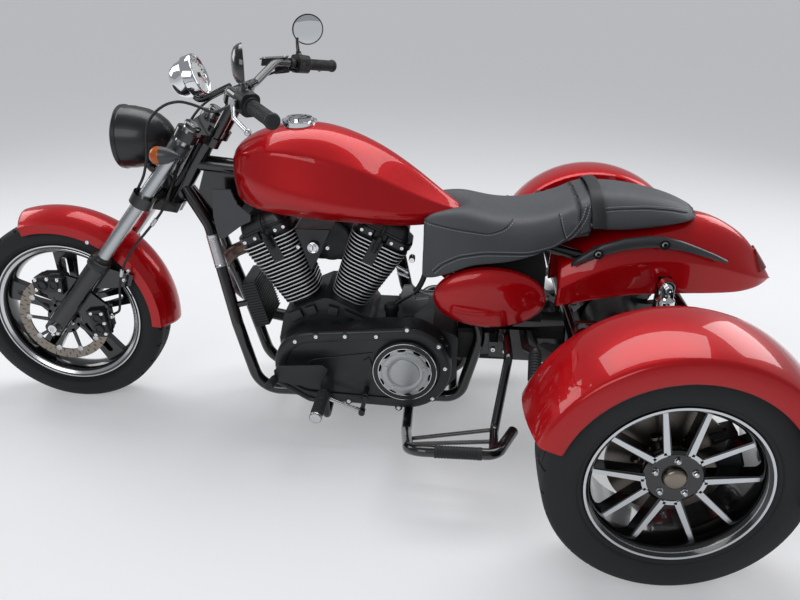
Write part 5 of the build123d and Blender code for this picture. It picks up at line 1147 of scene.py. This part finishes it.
# Rear fender: pressed steel in red, a tall crown over a crisp ridge on each side, narrowed to
# a tail with a smoked red lamp across it
# Columns: station, lower edge height, ridge height, shoulder height and y, crest, half width
FENDER = (
    (1592, 446, 503, 566, 86, 606, 110),
    (1640, 460, 533, 600, 90, 640, 115),
    (1680, 472, 558, 626, 92, 668, 118),
    (1735, 485, 581, 652, 93, 690, 119),
    (1790, 496, 600, 668, 93, 708, 120),
    (1850, 503, 610, 684, 92, 726, 120),
    (1910, 508, 615, 696, 90, 739, 120),
    (1970, 511, 612, 694, 88, 736, 119),
    (2030, 512, 604, 680, 84, 728, 116),
    (2080, 512, 592, 656, 78, 708, 108),
    (2130, 512, 576, 628, 68, 680, 98),
    (2170, 515, 562, 598, 55, 646, 82),
    (2205, 520, 546, 568, 42, 602, 64),
    (2235, 526, 537, 547, 24, 562, 36),
    (2249, 529, 533, 537, 12, 541, 19),
)
fender_rings = []
for s, low, ridge, zs, ys, crest, half in FENDER:
    side_points = [(half - 3, low), (half - 0.6, low + 4), (half, (low + ridge) / 2), (half + 0.6, ridge - 2),
                   (half - 0.5, ridge + 3), (half * 0.46 + ys * 0.54, ridge * 0.4 + zs * 0.6), (ys, zs),
                   (ys * 0.62, zs * 0.34 + crest * 0.66), (ys * 0.3, crest - 2.5)]
    fender_rings.append(mirrored(s, side_points, crest))
shell = bmesh.new()
rows = loft(shell, fender_rings, closed=False)
mark_creases(shell, [[row[3] for row in rows], [row[-4] for row in rows]], 0.9)
fender = place_piece("centre_fender_shell", shell, candy_red, levels=2, replaces=("rear_fender",))
red_lens, _, _ = plain_surface("smoked_red_lens_acrylic", "red_lens", "#8E0A12", 0.12,
    **{"Transmission Weight": 0.3, "IOR": 1.49})
dressed = fender.evaluated_get(bpy.context.evaluated_depsgraph_get())
lamp = bmesh.new()
lamp.from_mesh(dressed.to_mesh())
dressed.to_mesh_clear()
# The lens is the end of the fender's tail behind a slanted plane and above a level one
for spot, facing in ((at(2186, 0, 625), (-0.97, 0, -0.24)), (at(0, 0, 562), (0, 0, -1))):
    bmesh.ops.bisect_plane(lamp, geom=lamp.verts[:] + lamp.edges[:] + lamp.faces[:], plane_co=spot, plane_no=facing,
                           clear_outer=True)
bmesh.ops.solidify(lamp, geom=lamp.faces[:], thickness=-0.006)
place_piece("tail_lens", lamp, red_lens, smooth=40, replaces=("tail_light",))
sheet = fender.modifiers.new("sheet", "SOLIDIFY")
sheet.thickness, sheet.offset = 0.003, -1

# Grab rails: slender cast bars in satin grey beside the crown, on two stubs each, with a sunk
# bolt at each stub
# Columns: station, middle height, depth
RAIL = ((1622, 600, 10), (1640, 614, 20), (1672, 633, 29), (1706, 650, 33), (1766, 670, 33), (1836, 681, 31),
        (1880, 680, 31), (1930, 671, 27), (1983, 656, 21), (2032, 640, 15), (2066, 628, 8))
RAIL_BOLTS = ((1694, 640), (1880, 676))
for hand, side_word in SIDES:
    rail = bmesh.new()
    rings = []
    for s, z, deep in RAIL:
        rings.append([at(s, hand * (142 + a), z + b * deep) for a, b in (
            (-9, -0.3), (-6, -0.5), (6, -0.5), (10, -0.3), (10, 0.3), (6, 0.5), (-6, 0.5), (-9, 0.3))])
    loft(rail, rings, True)
    for s, z in RAIL_BOLTS:
        lathe(rail, at(s, hand * 112, z), (0, hand, 0), [(0, 12), (32, 12)], 24)
    place_piece(f"grab_rail_{side_word}", rail, pod_grey, smooth=50, replaces=("grab_rails",))
    bolts = bmesh.new()
    for s, z in RAIL_BOLTS:
        lathe(bolts, at(s, hand * 153.8, z), (0, hand, 0), [(0, 15), (1.6, 15), (1.6, 11.5), (-2, 10.8), (-2, 2)], 32)
    place_piece(f"rail_cups_{side_word}", bolts, satin_black, smooth=35)
    bolted(f"rail_bolts_{side_word}", [(at(s, hand * 152, z), (0, hand, 0), 8.4, 4) for s, z in RAIL_BOLTS],
           bright_bolt, smooth=30)

# Shock absorbers: gloss black bodies ribbed like a covered spring, under chromed forged clevises
# with a hexagonal pin
finish_cad(chrome_plate, "shock_absorbers")
SHOCK_TOP_S, SHOCK_TOP_Z, SHOCK_Y = 1903, 548, 158
for hand, side_word in SIDES:
    top, foot = at(SHOCK_TOP_S, hand * SHOCK_Y, SHOCK_TOP_Z), at(1914, hand * SHOCK_Y, 352)
    upward = (top - foot).normalized()
    turned(f"shock_spring_{side_word}", foot, upward, [(20, 22), (22, 24)] + ribbed(24, 12, 9, ((0, 23.6), (3, 25.2),
           (8, 25.2), (11, 23.6))) + [(134, 24), (136, 20)], 40, powder_coat, smooth=40)
    fork_end = bmesh.new()
    lathe(fork_end, foot, upward, [(134, 26), (136, 27.5), (154, 27.5), (160, 22), (168, 18), (176, 17)], 40)
    for off in (-11, 11):
        ear = [(SHOCK_TOP_S + 21 * cos(radians(t)), SHOCK_TOP_Z + 21 * sin(radians(t))) for t in range(-20, 201, 20)]
        ear += [(1886, 520), (1890, 505), (1922, 505), (1924, 520)]
        prism(fork_end, ear, hand * SHOCK_Y + off - 4.5, hand * SHOCK_Y + off + 4.5)
    place_piece(f"shock_clevis_{side_word}", fork_end, chrome_plate, bevel=2)
    bolted(f"shock_pin_{side_word}", [(at(SHOCK_TOP_S, hand * 173.5, SHOCK_TOP_Z), (0, hand, 0), 13, 9, 6)],
           bright_bolt, smooth=25)

# Rider's seat: a moulded foam pad under grey pebble-grained vinyl, dished in the middle, with a
# skirt stitched on that covers the frame on each side and runs forward beside the tank's tail
seat_vinyl, tree, shader = plain_surface("grey_seat_vinyl", "grey_vinyl", "#4A4D51", 0.5)
place = add_node(tree, "TexCoord").outputs["Object"]
# Pebbles of about 1.6 mm, fine creases between them, and a slow drift in the dye
pebbles = add_node(tree, "TexVoronoi", {"Vector": place, "Scale": 620.0})
creases = noise(tree, place, 90.0, 5.0)
low = add_node(tree, "Bump", {"Height": creases.outputs["Fac"], "Distance": 0.0003})
high = add_node(tree, "Bump", {"Height": pebbles.outputs["Distance"],
                "Distance": 0.00025, "Normal": low.outputs["Normal"]})
dye = noise(tree, place, 7.0, 3.0)
tone = two_tone(tree, dye.outputs["Fac"], srgb("#404347"), srgb("#54575B"))
worn = add_node(tree, "MapRange", {"Value": creases.outputs["Fac"], "To Min": 0.4, "To Max": 0.62})
tree.links.new(high.outputs["Normal"], shader.inputs["Normal"])
tree.links.new(tone, shader.inputs["Base Color"])
tree.links.new(worn.outputs["Result"], shader.inputs["Roughness"])
# Columns: station, top height at the middle, shoulder height and y, widest height and y,
# skirt edge height and y, underside height
SEAT = (
    (1182, 660, 722, 106, 690, 140, 545, 152, 648),
    (1205, 662, 742, 104, 700, 144, 540, 155, 650),
    (1245, 668, 752, 96, 706, 148, 552, 157, 654),
    (1290, 720, 758, 84, 708, 150, 572, 158, 660),
    (1325, 752, 752, 84, 704, 152, 588, 158, 664),
    (1375, 742, 738, 92, 696, 154, 596, 158, 668),
    (1440, 733, 730, 104, 690, 156, 602, 158, 670),
    (1510, 738, 736, 112, 694, 158, 626, 158, 672),
    (1580, 758, 758, 112, 712, 156, 664, 156, 676),
    (1630, 782, 784, 106, 734, 150, 690, 152, 680),
    (1666, 800, 800, 98, 750, 142, 704, 144, 684),
)
seat = bmesh.new()
seat_rings = []
for s, top, zs, ys, zw, yw, ze, ye, under in SEAT:
    half = [(ye - 26, min(under, ze + 40)), (ye - 16, ze + 6), (ye - 4, ze), (ye + 1, ze + 8),
            (yw + 1, zw * 0.5 + ze * 0.5), (yw, zw), (yw * 0.62 + ys * 0.38, zs * 0.72 + zw * 0.28), (ys, zs),
            (ys * 0.5, zs * 0.3 + top * 0.7)]
    seat_rings.append([at(s, 0, under)] + mirrored(s, half, top))
seat_rows = loft(seat, seat_rings, True)
mark_creases(seat, [[row[2] for row in seat_rows], [row[-2] for row in seat_rows]], 0.5)
mark_creases(seat, [seat_rows[-1] + seat_rows[-1][:1], seat_rows[0] + seat_rows[0][:1]], 0.5)
rider_pad = place_piece("rider_pad", seat, seat_vinyl, levels=2, replaces=("rider_seat",))

# Pillion pad: a narrower pad on the fender's crown in the same vinyl, rounded to the rear, with
# a crease round its front edge
# Columns: station, top height, shoulder height and y, side height and y, underside height
PILLION = (
    (1678, 806, 800, 92, 748, 128, 704),
    (1694, 809, 803, 92, 750, 132, 702),
    (1750, 809, 802, 90, 752, 132, 700),
    (1820, 801, 793, 86, 748, 128, 706),
    (1890, 787, 779, 78, 744, 118, 716),
    (1940, 771, 764, 66, 738, 102, 722),
    (1975, 754, 748, 46, 732, 76, 724),
    (1988, 742, 738, 24, 731, 42, 726),
)
pillion = bmesh.new()
pillion_rings = []
for s, top, zs, ys, zw, yw, under in PILLION:
    half = [(yw * 0.9, under), (yw, under + 8), (yw, zw), (ys, zs), (ys * 0.5, top - 2)]
    pillion_rings.append([at(s, 0, under + 18)] + mirrored(s, half, top))
pillion_rows = loft(pillion, pillion_rings, True)
mark_creases(pillion, [pillion_rows[0] + pillion_rows[0][:1]], 0.6)
pillion_pad = place_piece("pillion_pad", pillion, seat_vinyl, levels=2, replaces=("pillion_seat",))

# Seams: a dark welt where two panels meet, with a row of pale grey thread on one side or both,
# each stitch 5 mm long and sunk in the vinyl
welt_vinyl = grained("dark_welt_vinyl", "grey_vinyl", "#26282B", 0.6, grain_mm=1.0, depth_mm=0.05)
seat_thread = grained("grey_nylon_thread", "grey_vinyl", "#B4B8BC", 0.6, grain_mm=0.4, depth_mm=0.05)
STITCH_PITCH = 7.5


def on_pad(pad, hand, station, height):
    """Spot on a pad's side, seen straight from the side."""
    start = at(station, hand * 400, height)
    found, spot, normal, _ = pad.ray_cast(start, Vector((0, -hand, 0)), distance=0.4,
                                          depsgraph=bpy.context.evaluated_depsgraph_get())
    return (spot, normal) if found else (None, None)


def seam(name, pad, hand, line, rows):
    """Welt along a line of (station, height) on a pad's side, with stitches at the row offsets."""
    bends = [Vector(spot) for spot in line]
    steps = []
    for a, b in zip(bends, bends[1:]):
        count = max(2, round((b - a).length / (STITCH_PITCH / 3)))
        steps += [a.lerp(b, k / count) for k in range(count)]
    # Round the corners of the line
    for _ in range(24):
        steps = [steps[0]] + [(a + b * 2 + c) / 4 for a, b, c in zip(steps, steps[1:], steps[2:])] + [steps[-1]]
    welt = []
    for spot in steps[::6]:
        place, normal = on_pad(pad, hand, spot.x, spot.y)
        if place:
            welt.append(place - normal * 0.0006)
    if len(welt) > 3:
        wire(f"{name}_welt", welt, 1.7, welt_vinyl, sides=3)
    stitches = bmesh.new()
    for offset in rows:
        for a, b in list(zip(steps, steps[2:]))[::3]:
            run = (b - a).normalized()
            side = Vector((-run.y, run.x)) * offset
            first, _ = on_pad(pad, hand, *(a + side))
            second, normal = on_pad(pad, hand, *(a + side + run * 5))
            if first and second and (second - first).length < 0.012:
                lift = normal * 0.0002
                lathe(stitches, first + lift, second - first, [(0, 0.5), (0.8, 1.0), (3.8, 1.0), (4.6, 0.5)], 6)
    place_piece(f"{name}_stitches", stitches, seat_thread, smooth=60)


for hand, side_word in SIDES:
    seam(f"skirt_seam_{side_word}", rider_pad, hand, ((1216, 566), (1240, 590), (1290, 616), (1360, 630), (1494, 634),
         (1566, 656), (1612, 694), (1644, 742), (1656, 786)), (-6, 6))
    seam(f"front_seam_{side_word}", rider_pad, hand, ((1186, 716), (1277, 700), (1376, 690), (1420, 706),
         (1446, 730)), (-5,))
    seam(f"side_seam_{side_word}", rider_pad, hand, ((1570, 764), (1580, 720), (1598, 674)), (5,))
    seam(f"pillion_seam_{side_word}", pillion_pad, hand, ((1684, 762), (1740, 768), (1822, 770), (1900, 762),
         (1958, 748)), (-5, 5))
# Strap across the seam of the two pads; columns: y and height, from its edge up to the middle
strap = bmesh.new()
STRAP = ((150, 716), (147, 740), (136, 768), (114, 796), (80, 811), (40, 816), (0, 818))
arch = [(-y, z) for y, z in STRAP] + [(y, z) for y, z in reversed(STRAP[:-1])]
loft(strap, [[at(s + 10 * (818 - z) / 100, y * (1 + lift / 150),
     z + lift) for y, z in arch] for s, lift in ((1660, -4), (1664, 0), (1692, 1), (1696, -3))], closed=False)
bmesh.ops.solidify(strap, geom=strap.faces[:], thickness=0.003)
place_piece("seat_strap", strap, welt_vinyl, levels=2)

# Foot controls: pegs, pedals and the shift linkage in forged steel, painted satin black, with a
# plate under the rider's left heel, ribbed rubber round the pegs and bright end caps
finish_cad(satin_black, "foot_controls", "passenger_pegs")
plate("heel_plate", [(906, 188), (904, 266), (888, 280), (752, 271), (734, 252), (738, 222), (748, 214), (880, 206)],
      -238, -245, satin_black, bevel=2)
# Columns: peg's name, root and end of its axis
PEGS = (("left_peg", (894, -264, 198), (886, -378, 182)), ("right_peg", (894, 284, 198), (886, 398, 182)),
        ("left_passenger_peg", (1524, -268, 370), (1516, -372, 324)),
        ("right_passenger_peg", (1524, 268, 370), (1516, 372, 324)))
for name, root, end in PEGS:
    start, finish = at(*root), at(*end)
    axis = (finish - start).normalized()
    length = (finish - start).length * 1000
    turned(f"{name}_rubber", start, axis, [(6, 17.2)] + ribbed(10, (length - 22) / 9, 9, ((0, 17.4), (1, 19.6),
           (7, 19.6), (8, 17.4))) + [(length - 4, 17.4)], 36, moulded_rubber, smooth=40)
    turned(f"{name}_cap", start, axis, [(length - 4, 18), (length - 2, 19.4), (length + 5, 19.4), (length + 9, 17),
           (length + 10, 10)], 36, zinc_plate, smooth=40)
start, finish = at(905, -250, 165), at(1008, -250, 124)
reach = (finish - start).length * 1000
turned("shift_rod", start, finish - start, [(0, 5.6), (6, 7), (20, 7), (21, 5.9), (reach - 22, 5.9),
       (reach - 21, 7.4), (reach - 8, 7.4), (reach - 4, 5.6)], 20, lever_alloy, smooth=40)
start, finish = at(736, -214, 214), at(726, -286, 222)
turned("toe_peg_rubber", start, finish - start, [(18, 12.4)] + ribbed(20, 13, 3, ((0, 14), (6, 14), (7, 12.8),
       (12, 12.8))) + [(59, 14), (68, 14), (73, 11), (74, 4)], 28, moulded_rubber, smooth=40)
